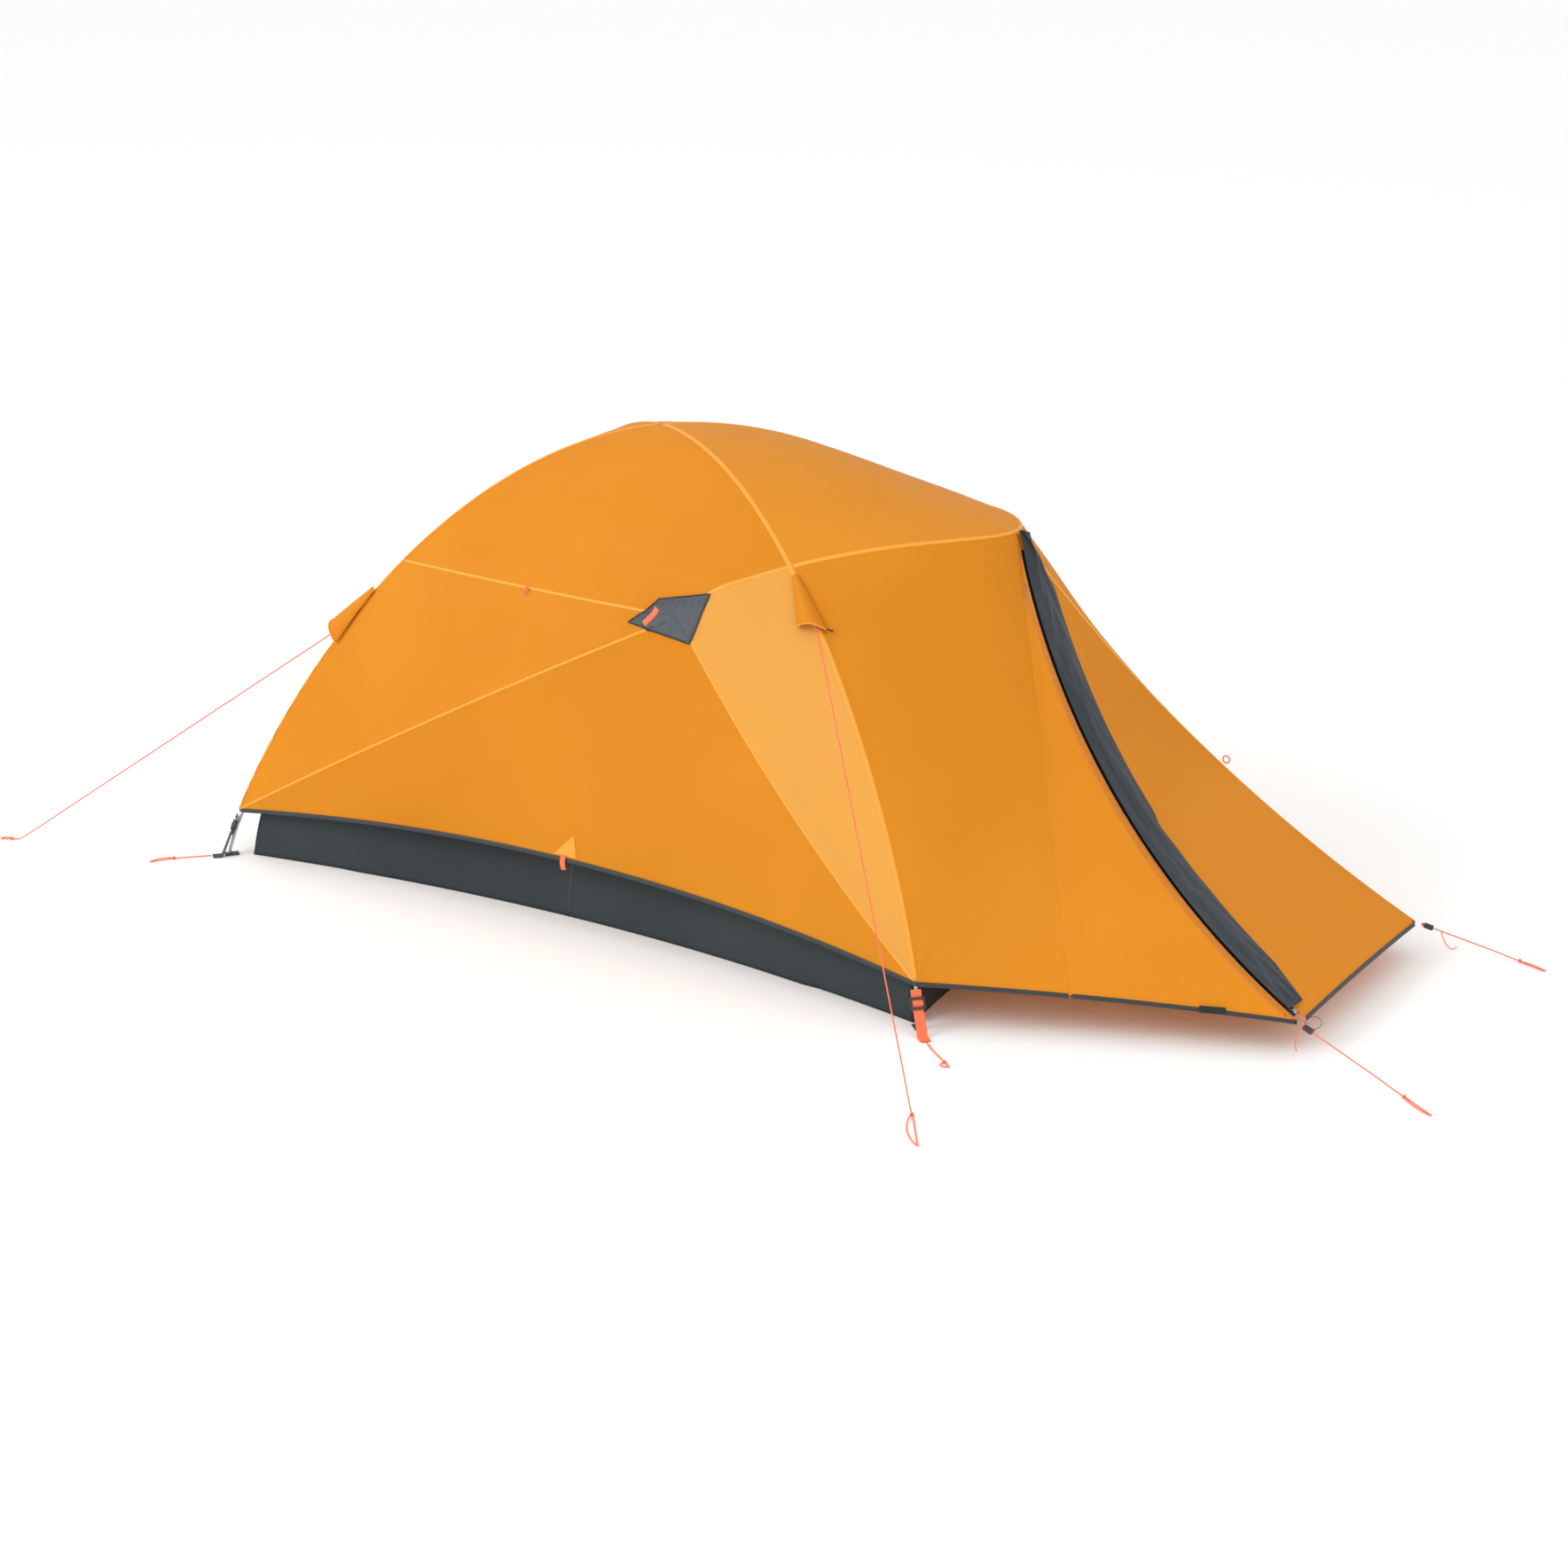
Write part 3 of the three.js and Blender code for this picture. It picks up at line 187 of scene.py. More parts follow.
CROSSING_TURN = math.asin(-PLANE_START / PLANE_SLOPE / HALF_LENGTH)
BROW_TURN = math.asin(BROW_CROSSING_X / HALF_LENGTH)
FRONT_HEM_TURN = turn_at_height(FRONT_HEM_HEIGHT, FRONT_LEG_SHAPE)
REAR_HEM_TURN = -turn_at_height(REAR_HEM_HEIGHT, REAR_LEG_SHAPE)
REAR_SEAM_TURN = -turn_at_height(0.69 * APEX_HEIGHT, REAR_LEG_SHAPE)


def front_leg(side, start, end):
    return lambda t: arch_point(side, mix(start, end, np.asarray(t, float)))


def rear_leg(side, start, end):
    return front_leg(-side, start, end)


apex = arch_point(NEAR, CROSSING_TURN)
porch_peak = np.array(PORCH_PEAK, float)
brow_crossing = arch_point(NEAR, BROW_TURN)
BROW_REACH = porch_peak[0] - brow_crossing[0]
BROW_WIDE = BROW_SPREAD * abs(brow_crossing[1])
BROW_NOSE = (BROW_WIDE**2 - BROW_REACH**2) / (2 * BROW_REACH)
BROW_DROOP = (porch_peak[2] - brow_crossing[2]) / BROW_REACH**2


def brow_point(y):
    y = np.asarray(y, float)
    back = np.hypot(BROW_NOSE, BROW_SPREAD * y) - BROW_NOSE
    return point(porch_peak[0] - back, y, porch_peak[2] - BROW_DROOP * back**2)


def seam_corner(side):
    return np.array([260.0, side * 440.0, 815.0])


def front_hem_corner(side):
    return arch_point(side, FRONT_HEM_TURN)


def rear_hem_corner(side):
    return arch_point(-side, REAR_HEM_TURN)


def porch_corner(side):
    return np.array([PORCH_CORNER_X, side * PORCH_CORNER_HALF_WIDTH, PORCH_HEM_HEIGHT], float)


def top_seam(side):
    return seam(seam_corner(side), arch_point(-side, REAR_SEAM_TURN), (0, side * -4, -6))


def rear_seam(side):
    return seam(seam_corner(side), rear_hem_corner(side), (0, side * 12, 14))


def front_seam(side):
    return seam(seam_corner(side), front_hem_corner(side), (-30, side * 6, -10))


def side_hem(side):
    return seam(rear_hem_corner(side), front_hem_corner(side), (0, side * -SIDE_HEM_BOW, SIDE_HEM_RISE))


rear_hem = seam(rear_hem_corner(NEAR), rear_hem_corner(FAR), (REAR_HEM_BOW, 0, SIDE_HEM_RISE / 2))


def brow_tail(side):
    crossing = arch_point(side, BROW_TURN)
    middle = brow_point(mix(crossing[1], side * BROW_TIP_HALF_WIDTH, 0.5))
    tip = brow_point(side * BROW_TIP_HALF_WIDTH)
    return smooth_line([crossing, middle, tip, seam_corner(side)])


def porch_hem(side):
    return seam(front_hem_corner(side), porch_corner(side), (0, side * -14, 4))


class PorchEdge:
    """The porch's ridge, an arc of a circle from the porch corner up to the peak."""

    def __init__(self, side):
        low = porch_corner(side)
        chord = porch_peak - low
        length = np.linalg.norm(chord)
        self.run = chord / length
        outward = np.array([-0.709, side * 0.479, -0.519])
        self.outward = unit(outward - self.run * (outward @ self.run))
        self.radius = (length**2 / 4 + PORCH_EDGE_SAG**2) / (2 * PORCH_EDGE_SAG)
        self.centre = (low + porch_peak) / 2 + self.outward * (PORCH_EDGE_SAG - self.radius)
        self.half = math.asin(length / 2 / self.radius)
        self.axis = unit(np.cross(self.run, self.outward))

    def __call__(self, t):
        angle = mix(-self.half, self.half, np.asarray(t, float))[..., None]
        return self.centre + self.radius * (self.outward * np.cos(angle) + self.run * np.sin(angle))


near_ridge = PorchEdge(NEAR)
far_ridge = PorchEdge(FAR)


def zip_frame(t):
    """Places on the zip with the directions along it, across it to the front, and out."""
    t = np.asarray(t, float)
    place = near_ridge(t)
    along = unit(near_ridge(np.minimum(1, t + 0.002)) - near_ridge(np.maximum(0, t - 0.002)))
    to_centre = unit(near_ridge.centre - place)
    sideways = near_ridge.axis * (1 if near_ridge.axis[1] > 0 else -1)
    angle = math.radians(ZIP_FACE_ANGLE)
    across = to_centre * math.cos(angle) + sideways * math.sin(angle)
    out = unit(np.cross(across, along))
    out = out * np.where(out[..., 0:1] < 0, -1, 1)
    return place, along, across, out


def zip_offset(t, across, out):
    place, _, side, away = zip_frame(t)
    return place + side * np.asarray(across, float)[..., None] + away * np.asarray(out, float)[..., None]


FRONT_PANEL_START = ZIP_TAPE_WIDTH + 2 * SEAM_GAP


def front_near_edge(t):
    return zip_offset(t, FRONT_PANEL_START, 0.0)


front_hem = seam(front_near_edge(0.0), far_ridge(0.0), (0, 0, 6))
front_panel = stretched(
    front_hem,
    lambda u: lerp(front_near_edge(1.0), far_ridge(1.0), u),
    front_near_edge,
    far_ridge,
)
fold_foot = porch_hem(NEAR)(DOOR_FOLD_SHARE)


def fold_line(t):
    return lerp(fold_foot, porch_peak, t)


near_porch = stretched(
    porch_hem(NEAR),
    lambda u: brow_point(mix(brow_crossing[1], 0, u)),
    front_leg(NEAR, FRONT_HEM_TURN, BROW_TURN),
    near_ridge,
)


# The door starts about 0.3 mm past the fold, as a share of the porch's width.
FOLD_CLEAR = 0.0003
HEM_FOLD_CLEAR = 0.002
DOOR_FOOT_TRIM = 0.99
DOOR_EDGE_TOP = 0.975
DOOR_SEAM_INSET = 14


def across_fold(from_door):
    """The near porch from the leg to the fold, or from the fold to the zip: one smooth sheet,
    drawn to the fold's straight line so that the door hinges cleanly."""
    def at(u, v):
        u, v = np.broadcast_arrays(np.asarray(u, float), np.asarray(v, float))
        fold = mix(DOOR_FOLD_SHARE, 1, v)
        share = mix(fold + FOLD_CLEAR, 1, u) if from_door else fold * u
        away = u if from_door else 1 - u
        pull = (fold_line(v) - near_porch(fold, v)) * ((1 - away**2) ** 2)[..., None]
        return near_porch(share, v) + pull
    return at


# ------------------------------------------------------------------ camera, before all else
CAMERA_PLACE = (4.3320, -7.3850, 3.3000)
CAMERA_YAW, CAMERA_PITCH = -0.541, 0.339
CAMERA_LENS = 82.17


def stand_camera():
    """Eye height above the ground, to the porch side of the tent, with a long lens."""
    camera = bpy.data.cameras.new("studio_camera")
    camera.sensor_width = 36.0
    camera.lens = CAMERA_LENS
    camera.clip_end = 200.0
    stand = bpy.data.objects.new("studio_camera", camera)
    bpy.context.scene.collection.objects.link(stand)
    stand.location = CAMERA_PLACE
    level = math.cos(CAMERA_PITCH)
    look = Vector((level * math.sin(CAMERA_YAW), level * math.cos(CAMERA_YAW), -math.sin(CAMERA_PITCH)))
    stand.rotation_mode = "QUATERNION"
    stand.rotation_quaternion = look.to_track_quat("-Z", "Y")
    bpy.context.scene.camera = stand


stand_camera()


# ------------------------------------------------------------------ making meshes
def mesh_piece(name, vertices, faces, uv=None, smooth=True):
    """A piece from its places in metres. uv is one pair for each vertex, in metres of cloth."""
    mesh = bpy.data.meshes.new(name)
    mesh.from_pydata([tuple(p) for p in np.asarray(vertices, float)], [], faces)
    if uv is not None:
        layer = mesh.uv_layers.new(name="cloth")
        corner = np.empty(len(mesh.loops), np.int32)
        mesh.loops.foreach_get("vertex_index", corner)
        layer.data.foreach_set("uv", np.asarray(uv, np.float32)[corner].ravel())
    mesh.polygons.foreach_set("use_smooth", [smooth] * len(mesh.polygons))
    piece = bpy.data.objects.new(name, mesh)
    bpy.context.scene.collection.objects.link(piece)
    return piece


def finish_piece(piece, body, material, replaces=()):
    """Gives a piece its body, its finish and the solids it stands for."""
    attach(piece, body)
    piece.data.materials.append(material)
    if replaces:
        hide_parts(*replaces)
    return piece


def grid_faces(rows, columns, closed=False, start=0):
    faces = []
    last = columns if closed else columns - 1
    for j in range(rows - 1):
        for i in range(last):
            k = (i + 1) % columns
            a, b = start + j * columns + i, start + j * columns + k
            faces.append((a, b, b + columns, a + columns))
    return faces


def weld(piece, reach=0.00003):
    work = bmesh.new()
    work.from_mesh(piece.data)
    bmesh.ops.remove_doubles(work, verts=work.verts, dist=reach)
    bmesh.ops.dissolve_degenerate(work, edges=work.edges, dist=reach * 0.5)
    bmesh.ops.recalc_face_normals(work, faces=work.faces)
    up = sum(f.normal.dot(f.calc_center_median() - Vector((-0.3, 0, 0.25))) * f.calc_area() for f in work.faces)
    if up < 0:
        bmesh.ops.reverse_faces(work, faces=work.faces)
    work.to_mesh(piece.data)
    work.free()
    piece.data.polygons.foreach_set("use_smooth", [True] * len(piece.data.polygons))


def thicken(piece, thickness, offset=-1.0):
    """Turns a sheet into cloth of that thickness, in metres, kept in the mesh itself."""
    solid = piece.modifiers.new("thickness", "SOLIDIFY")
    solid.thickness = thickness
    solid.offset = offset
    keep_modifiers(piece)


def keep_modifiers(piece):
    bpy.context.view_layer.update()
    shaped = bpy.data.meshes.new_from_object(piece.evaluated_get(bpy.context.evaluated_depsgraph_get()))
    piece.modifiers.clear()
    piece.data = shaped


def tube(name, path, radius, sides=8, closed=False):
    """A round piece of cord, piping or wire along places in metres."""
    path = np.asarray(path, float)
    count = len(path)
    if closed:
        run = unit(np.roll(path, -1, 0) - np.roll(path, 1, 0))
    else:
        run = unit(np.gradient(path, axis=0))
    side = unit(np.cross(run[0], [0.3, 0.1, 1.0]))
    rings = []
    sizes = np.broadcast_to(np.asarray(radius, float), (count,))
    for k in range(count):
        side = unit(side - run[k] * (side @ run[k]))
        up = np.cross(run[k], side)
        angle = np.arange(sides) / sides * 2 * math.pi
        rings.append(path[k] + sizes[k] * (np.outer(np.cos(angle), side) + np.outer(np.sin(angle), up)))
    vertices = np.vstack(rings)
    faces = grid_faces(count, sides, closed=True)
    if closed:
        last = (count - 1) * sides
        twist = int(np.argmin(np.linalg.norm(rings[0] - rings[-1][0], axis=1)))
        for i in range(sides):
            k = (i + 1) % sides
            faces.append((last + i, last + k, (k + twist) % sides, (i + twist) % sides))
    else:
        faces.append(tuple(reversed(range(sides))))
        faces.append(tuple(range((count - 1) * sides, count * sides)))
    along = np.repeat(np.concatenate([[0], np.cumsum(np.linalg.norm(np.diff(path, axis=0), axis=1))]), sides)
    round_ = np.tile(np.arange(sides) / sides, count)
    return mesh_piece(name, vertices, faces, uv=np.stack([along, round_ * 2 * math.pi * sizes.max()], 1))


class ClothFace:
    """The outside of a finished cloth, for laying trim on it."""

    def __init__(self, *pieces):
        vertices, faces = [], []
        for piece in pieces:
            start = len(vertices)
            vertices += [v.co.copy() for v in piece.data.vertices]
            faces += [[start + i for i in p.vertices] for p in piece.data.polygons]
        self.tree = BVHTree.FromPolygons(vertices, faces)

    def lay(self, places, lift):
        """Moves places onto the cloth and lifts them off its outside."""
        laid, normals = [], []
        lifts = np.broadcast_to(np.asarray(lift, float), (len(places),))
        for place, height in zip(places, lifts):
            spot, normal, _, _ = self.tree.find_nearest(Vector(place))
            if normal.dot(spot - Vector((-0.3, 0, 0.25))) < 0:
                normal = -normal
            laid.append(spot + normal * float(height))
            normals.append(normal)
        return np.array(laid), np.array(normals)


def lay_strip(name, cloth, line, width, height, profile=None):
    """A sewn strip along a line on the cloth, its edges down on the cloth on both sides."""
    line = np.asarray(line, float)
    _, normal = cloth.lay(line, 0.0)
    run = unit(np.gradient(line, axis=0))
    across = unit(np.cross(normal, run))
    profile = profile or [(-1, 0.15), (-0.8, 0.8), (-0.35, 1.0), (0.35, 1.0), (0.8, 0.8), (1, 0.15)]
    columns = []
    for share, lift in profile:
        columns.append(cloth.lay(line + across * share * width / 2, height * lift)[0])
    for share in (1, -1):
        columns.append(cloth.lay(line + across * share * width / 2 * 0.96, -0.0004)[0])
    vertices = np.stack(columns, 1).reshape(-1, 3)
    count = len(columns)
    faces = grid_faces(len(line), count, closed=True)
    faces.append(tuple(reversed(range(count))))
    faces.append(tuple(range((len(line) - 1) * count, len(line) * count)))
    along = np.concatenate([[0], np.cumsum(np.linalg.norm(np.diff(line, axis=0), axis=1))])
    sides = [share * width / 2 for share, _ in profile] + [width / 2, -width / 2]
    uv = np.stack([np.repeat(along, count), np.tile(sides, len(line))], 1)
    piece = mesh_piece(name, vertices, faces, uv=uv)
    work = bmesh.new()
    work.from_mesh(piece.data)
    bmesh.ops.recalc_face_normals(work, faces=work.faces)
    work.to_mesh(piece.data)
    work.free()
    return piece


# ------------------------------------------------------------------ materials
def linear(hex_colour):
    """An sRGB hex colour as linear light."""
    parts = [int(hex_colour[i:i + 2], 16) / 255 for i in (1, 3, 5)]
    return tuple(p / 12.92 if p <= 0.04045 else ((p + 0.055) / 1.055) ** 2.4 for p in parts) + (1.0,)


def node(tree, kind, settings=None, links=None):
    """Adds a node, sets its sockets or its own properties by name, and links its sockets."""
    made = tree.nodes.new(kind)
    for key, value in (settings or {}).items():
        if isinstance(key, int) or key in made.inputs:
            made.inputs[key].default_value = value
        else:
            setattr(made, key, value)
    for key, source in (links or {}).items():
        tree.links.new(source, made.inputs[key])
    return made


def blank_material(name):
    material = bpy.data.materials.new(name)
    material.use_nodes = True
    tree = material.node_tree
    tree.nodes.clear()
    return material, tree, node(tree, "ShaderNodeOutputMaterial")


def bands(period):
    """The scale of a band pattern with that period in metres."""
    return 2 * math.pi / 20 / period


def weave_height(tree, threads, grid):
    """Height of a plain weave on the cloth's own coordinates: threads and grid are spacings in metres."""
    place = node(tree, "ShaderNodeUVMap", {"uv_map": "cloth"}).outputs[0]
    warp = node(tree, "ShaderNodeTexWave", {"Scale": bands(threads), "bands_direction": "X"}, {"Vector": place})
    weft = node(tree, "ShaderNodeTexWave", {"Scale": bands(threads), "bands_direction": "Y"}, {"Vector": place})
    threads_mix = node(tree, "ShaderNodeMath", {"operation": "MULTIPLY"},
                       {0: warp.outputs["Fac"], 1: weft.outputs["Fac"]})
    if not grid:
        return threads_mix.outputs[0], place
    heavy = []
    for direction in ("X", "Y"):
        wave = node(tree, "ShaderNodeTexWave", {"Scale": bands(grid), "bands_direction": direction},
                    {"Vector": place})
        heavy.append(node(tree, "ShaderNodeMath", {"operation": "POWER", 1: 14.0}, {0: wave.outputs["Fac"]}))
    lines = node(tree, "ShaderNodeMath", {"operation": "MAXIMUM"},
                 {0: heavy[0].outputs[0], 1: heavy[1].outputs[0]})
    total = node(tree, "ShaderNodeMath", {"operation": "MULTIPLY_ADD", 1: 0.35},
                 {0: threads_mix.outputs[0], 2: lines.outputs[0]})
    return total.outputs[0], place


def coated_cloth(name, dark, light, through=None, share=0.0, threads=0.0012, grid=0.0,
                 roughness=0.5, relief=0.00012, crumple=0.0006, crumple_scale=9.0, sheen=0.0):
    """Woven polyester or nylon with a proofing coat: fine even threads, slack low creases from
    packing, and light coming through where the cloth is thin."""
    material, tree, output = blank_material(name)
    height, place = weave_height(tree, threads, grid)
    body = node(tree, "ShaderNodeTexCoord").outputs["Object"]
    cloudy = node(tree, "ShaderNodeTexNoise", {"Scale": 1.6, "Detail": 3.0, "Roughness": 0.5}, {"Vector": body})
    shade = node(tree, "ShaderNodeMapRange", {"From Min": 0.3, "From Max": 0.7}, {"Value": cloudy.outputs[0]})
    colour = node(tree, "ShaderNodeMix", {"data_type": "RGBA"}, {0: shade.outputs[0]})
    colour.inputs[6].default_value = linear(dark)
    colour.inputs[7].default_value = linear(light)
    # Painted light and shade: a value stored on each panel's faces draws that panel paler, towards a pale glow
    # colour, where light falls on it and glows through it, and darker where it is shaded.
    painted_light_and_shade = node(tree, "ShaderNodeAttribute", {"attribute_name": "painted_light_and_shade"}).outputs["Fac"]
    paler = node(tree, "ShaderNodeMix", {"data_type": "RGBA"}, {0: painted_light_and_shade, 6: colour.outputs[2]})
    paler.inputs[7].default_value = linear("#FFDC84")
    deeper = node(tree, "ShaderNodeMath", {"operation": "MINIMUM", 1: 0.0}, {0: painted_light_and_shade})
    lift = node(tree, "ShaderNodeMath", {"operation": "ADD", 1: 1.0}, {0: deeper.outputs[0]})
    toned = node(tree, "ShaderNodeVectorMath", {"operation": "SCALE"},
                 {0: paler.outputs[2], "Scale": lift.outputs[0]})
    creases = node(tree, "ShaderNodeTexNoise",
                   {"Scale": crumple_scale, "Detail": 5.0, "Roughness": 0.55, "Distortion": 0.6}, {"Vector": body})
    soft = node(tree, "ShaderNodeBump", {"Strength": 0.6, "Distance": crumple}, {"Height": creases.outputs[0]})
    bump = node(tree, "ShaderNodeBump", {"Strength": 0.5, "Distance": relief},
                {"Height": height, "Normal": soft.outputs[0]})
    gloss = node(tree, "ShaderNodeMapRange",
                 {"From Min": 0.3, "From Max": 0.7, "To Min": roughness - 0.05, "To Max": roughness + 0.06},
                 {"Value": creases.outputs[0]})
    front = node(tree, "ShaderNodeBsdfPrincipled",
                 {"IOR": 1.5, "Specular IOR Level": 0.12, "Sheen Weight": sheen},
                 {"Base Color": toned.outputs[0], "Roughness": gloss.outputs[0], "Normal": bump.outputs[0]})
    shown = front.outputs[0]
    if through:
        back = node(tree, "ShaderNodeBsdfTranslucent", {"Color": linear(through)}, {"Normal": soft.outputs[0]})
        blend = node(tree, "ShaderNodeMixShader", {0: share}, {1: shown, 2: back.outputs[0]})
        shown = blend.outputs[0]
    tree.links.new(shown, output.inputs[0])
    return material


def sewn_seam(name, dark, light, stitch, rows=(0.0028,), pitch=0.0045):
    """A flat-felled seam: four layers of the same cloth, so it is fuller and brighter than the
    panels, with rows of lockstitch. Stitches are drawn 4.5 mm long, coarser than the real 3 mm."""
    material, tree, output = blank_material(name)
    place = node(tree, "ShaderNodeUVMap", {"uv_map": "cloth"}).outputs[0]
    axes = node(tree, "ShaderNodeSeparateXYZ", None, {0: place})
    dash = node(tree, "ShaderNodeTexWave", {"Scale": bands(pitch), "bands_direction": "X"}, {"Vector": place})
    dashes = node(tree, "ShaderNodeMath", {"operation": "GREATER_THAN", 1: 0.35}, {0: dash.outputs["Fac"]})
    aside = node(tree, "ShaderNodeMath", {"operation": "ABSOLUTE"}, {0: axes.outputs["Y"]})
    marks = None
    for row in rows:
        off = node(tree, "ShaderNodeMath", {"operation": "SUBTRACT", 1: row}, {0: aside.outputs[0]})
        size = node(tree, "ShaderNodeMath", {"operation": "ABSOLUTE"}, {0: off.outputs[0]})
        line = node(tree, "ShaderNodeMath", {"operation": "LESS_THAN", 1: 0.0005}, {0: size.outputs[0]})
        marks = line if marks is None else node(
            tree, "ShaderNodeMath", {"operation": "MAXIMUM"}, {0: marks.outputs[0], 1: line.outputs[0]})
    sewn = node(tree, "ShaderNodeMath", {"operation": "MULTIPLY"}, {0: marks.outputs[0], 1: dashes.outputs[0]})
    body = node(tree, "ShaderNodeTexCoord").outputs["Object"]
    pucker = node(tree, "ShaderNodeTexNoise", {"Scale": 90.0, "Detail": 3.0}, {"Vector": body})
    cloth = node(tree, "ShaderNodeMix", {"data_type": "RGBA"}, {0: pucker.outputs[0]})
    cloth.inputs[6].default_value = linear(dark)
    cloth.inputs[7].default_value = linear(light)
    colour = node(tree, "ShaderNodeMix", {"data_type": "RGBA"}, {0: sewn.outputs[0], 6: cloth.outputs[2]})
    colour.inputs[7].default_value = linear(stitch)
    sunk = node(tree, "ShaderNodeMath", {"operation": "SUBTRACT"}, {0: pucker.outputs[0], 1: marks.outputs[0]})
    bump = node(tree, "ShaderNodeBump", {"Strength": 0.6, "Distance": 0.0006}, {"Height": sunk.outputs[0]})
    front = node(tree, "ShaderNodeBsdfPrincipled", {"IOR": 1.5, "Roughness": 0.5},
                 {"Base Color": colour.outputs[2], "Normal": bump.outputs[0]})
    tree.links.new(front.outputs[0], output.inputs[0])
    return material


def woven_webbing(name, dark, light, rib=0.0016, roughness=0.72):
    """Polypropylene webbing, woven flat: raised ribs along it and a soft fuzz of fibre."""
    material, tree, output = blank_material(name)
    body = node(tree, "ShaderNodeTexCoord").outputs["Object"]
    ribs = node(tree, "ShaderNodeTexWave",
                {"Scale": bands(rib), "bands_direction": "DIAGONAL", "Distortion": 0.4}, {"Vector": body})
    fuzz = node(tree, "ShaderNodeTexNoise", {"Scale": 420.0, "Detail": 3.0}, {"Vector": body})
    both = node(tree, "ShaderNodeMath", {"operation": "MULTIPLY_ADD", 1: 0.5},
                {0: fuzz.outputs[0], 2: ribs.outputs["Fac"]})
    colour = node(tree, "ShaderNodeMix", {"data_type": "RGBA"}, {0: ribs.outputs["Fac"]})
    colour.inputs[6].default_value = linear(dark)
    colour.inputs[7].default_value = linear(light)
    bump = node(tree, "ShaderNodeBump", {"Strength": 0.7, "Distance": 0.0004}, {"Height": both.outputs[0]})
    front = node(tree, "ShaderNodeBsdfPrincipled",
                 {"IOR": 1.49, "Roughness": roughness, "Sheen Weight": 0.15, "Sheen Roughness": 0.4},
                 {"Base Color": colour.outputs[2], "Normal": bump.outputs[0]})
    tree.links.new(front.outputs[0], output.inputs[0])
    return material


def braided_cord(name, dark, light):
    """Braided polyester cord, 3 mm: slanting strands that catch the light in small lozenges."""
    material, tree, output = blank_material(name)
    body = node(tree, "ShaderNodeTexCoord").outputs["Object"]
    waves = [node(tree, "ShaderNodeTexWave",
                  {"Scale": bands(0.0022), "bands_direction": way, "Distortion": 1.0}, {"Vector": body})
             for way in ("DIAGONAL", "X")]
    strands = node(tree, "ShaderNodeMath", {"operation": "MULTIPLY"},
                   {0: waves[0].outputs["Fac"], 1: waves[1].outputs["Fac"]})
    colour = node(tree, "ShaderNodeMix", {"data_type": "RGBA"}, {0: strands.outputs[0]})
    colour.inputs[6].default_value = linear(dark)
    colour.inputs[7].default_value = linear(light)
    bump = node(tree, "ShaderNodeBump", {"Strength": 0.6, "Distance": 0.0003}, {"Height": strands.outputs[0]})
    front = node(tree, "ShaderNodeBsdfPrincipled", {"IOR": 1.5, "Roughness": 0.6, "Sheen Weight": 0.1},
                 {"Base Color": colour.outputs[2], "Normal": bump.outputs[0]})
    tree.links.new(front.outputs[0], output.inputs[0])
    return material


def moulded_acetal(name, dark, light):
    """Injection-moulded acetal: an even satin skin with the faint grain of the mould."""
    material, tree, output = blank_material(name)
    body = node(tree, "ShaderNodeTexCoord").outputs["Object"]
    grain = node(tree, "ShaderNodeTexNoise", {"Scale": 900.0, "Detail": 2.0}, {"Vector": body})
    wear = node(tree, "ShaderNodeTexNoise", {"Scale": 60.0, "Detail": 4.0}, {"Vector": body})
    colour = node(tree, "ShaderNodeMix", {"data_type": "RGBA"}, {0: wear.outputs[0]})
    colour.inputs[6].default_value = linear(dark)
    colour.inputs[7].default_value = linear(light)
    bump = node(tree, "ShaderNodeBump", {"Strength": 0.3, "Distance": 0.0001}, {"Height": grain.outputs[0]})
    gloss = node(tree, "ShaderNodeMapRange", {"To Min": 0.3, "To Max": 0.48}, {"Value": wear.outputs[0]})
    front = node(tree, "ShaderNodeBsdfPrincipled", {"IOR": 1.48},
                 {"Base Color": colour.outputs[2], "Roughness": gloss.outputs[0], "Normal": bump.outputs[0]})
    tree.links.new(front.outputs[0], output.inputs[0])
    return material


def anodised_tube(name, colour_hex, roughness=0.32):
    """Drawn aluminium pole tube, anodised: metallic, with fine draw lines along its length."""
    material, tree, output = blank_material(name)
    body = node(tree, "ShaderNodeTexCoord").outputs["Object"]
    drawn = node(tree, "ShaderNodeTexNoise", {"Scale": 260.0, "Detail": 3.0, "Distortion": 0.3}, {"Vector": body})
    gloss = node(tree, "ShaderNodeMapRange", {"To Min": roughness - 0.06, "To Max": roughness + 0.1},
                 {"Value": drawn.outputs[0]})
    tint = node(tree, "ShaderNodeMix", {"data_type": "RGBA"}, {0: drawn.outputs[0]})
    tint.inputs[6].default_value = linear(colour_hex)
    tint.inputs[7].default_value = linear("#D6D8DA")
    bump = node(tree, "ShaderNodeBump", {"Strength": 0.2, "Distance": 0.0001}, {"Height": drawn.outputs[0]})
    front = node(tree, "ShaderNodeBsdfPrincipled", {"Metallic": 1.0},
                 {"Base Color": tint.outputs[2], "Roughness": gloss.outputs[0], "Normal": bump.outputs[0]})
    tree.links.new(front.outputs[0], output.inputs[0])
    return material


ripstop_fly = coated_cloth("proofed_ripstop_fly", "#D6861A", "#DF8E22", through="#F08C16", share=0.2,
                           grid=0.008, roughness=0.55)
felled_seam = sewn_seam("felled_fly_seam", "#DE911F", "#E69927", "#EBA338", rows=(0.0033,))
coated_floor = coated_cloth("coated_floor_taffeta", "#30373A", "#394042", threads=0.0014,
                            roughness=0.5, crumple=0.0012, crumple_scale=6.0)
storm_flap_cloth = coated_cloth("storm_flap_taffeta", "#2E3338", "#3D4349", threads=0.0014,
                                roughness=0.44, crumple=0.0025, crumple_scale=14.0)
gathered_patch_cloth = coated_cloth("gathered_patch_taffeta", "#4C5157", "#6C7279", threads=0.0012,
                                    roughness=0.3, crumple=0.002, crumple_scale=26.0)
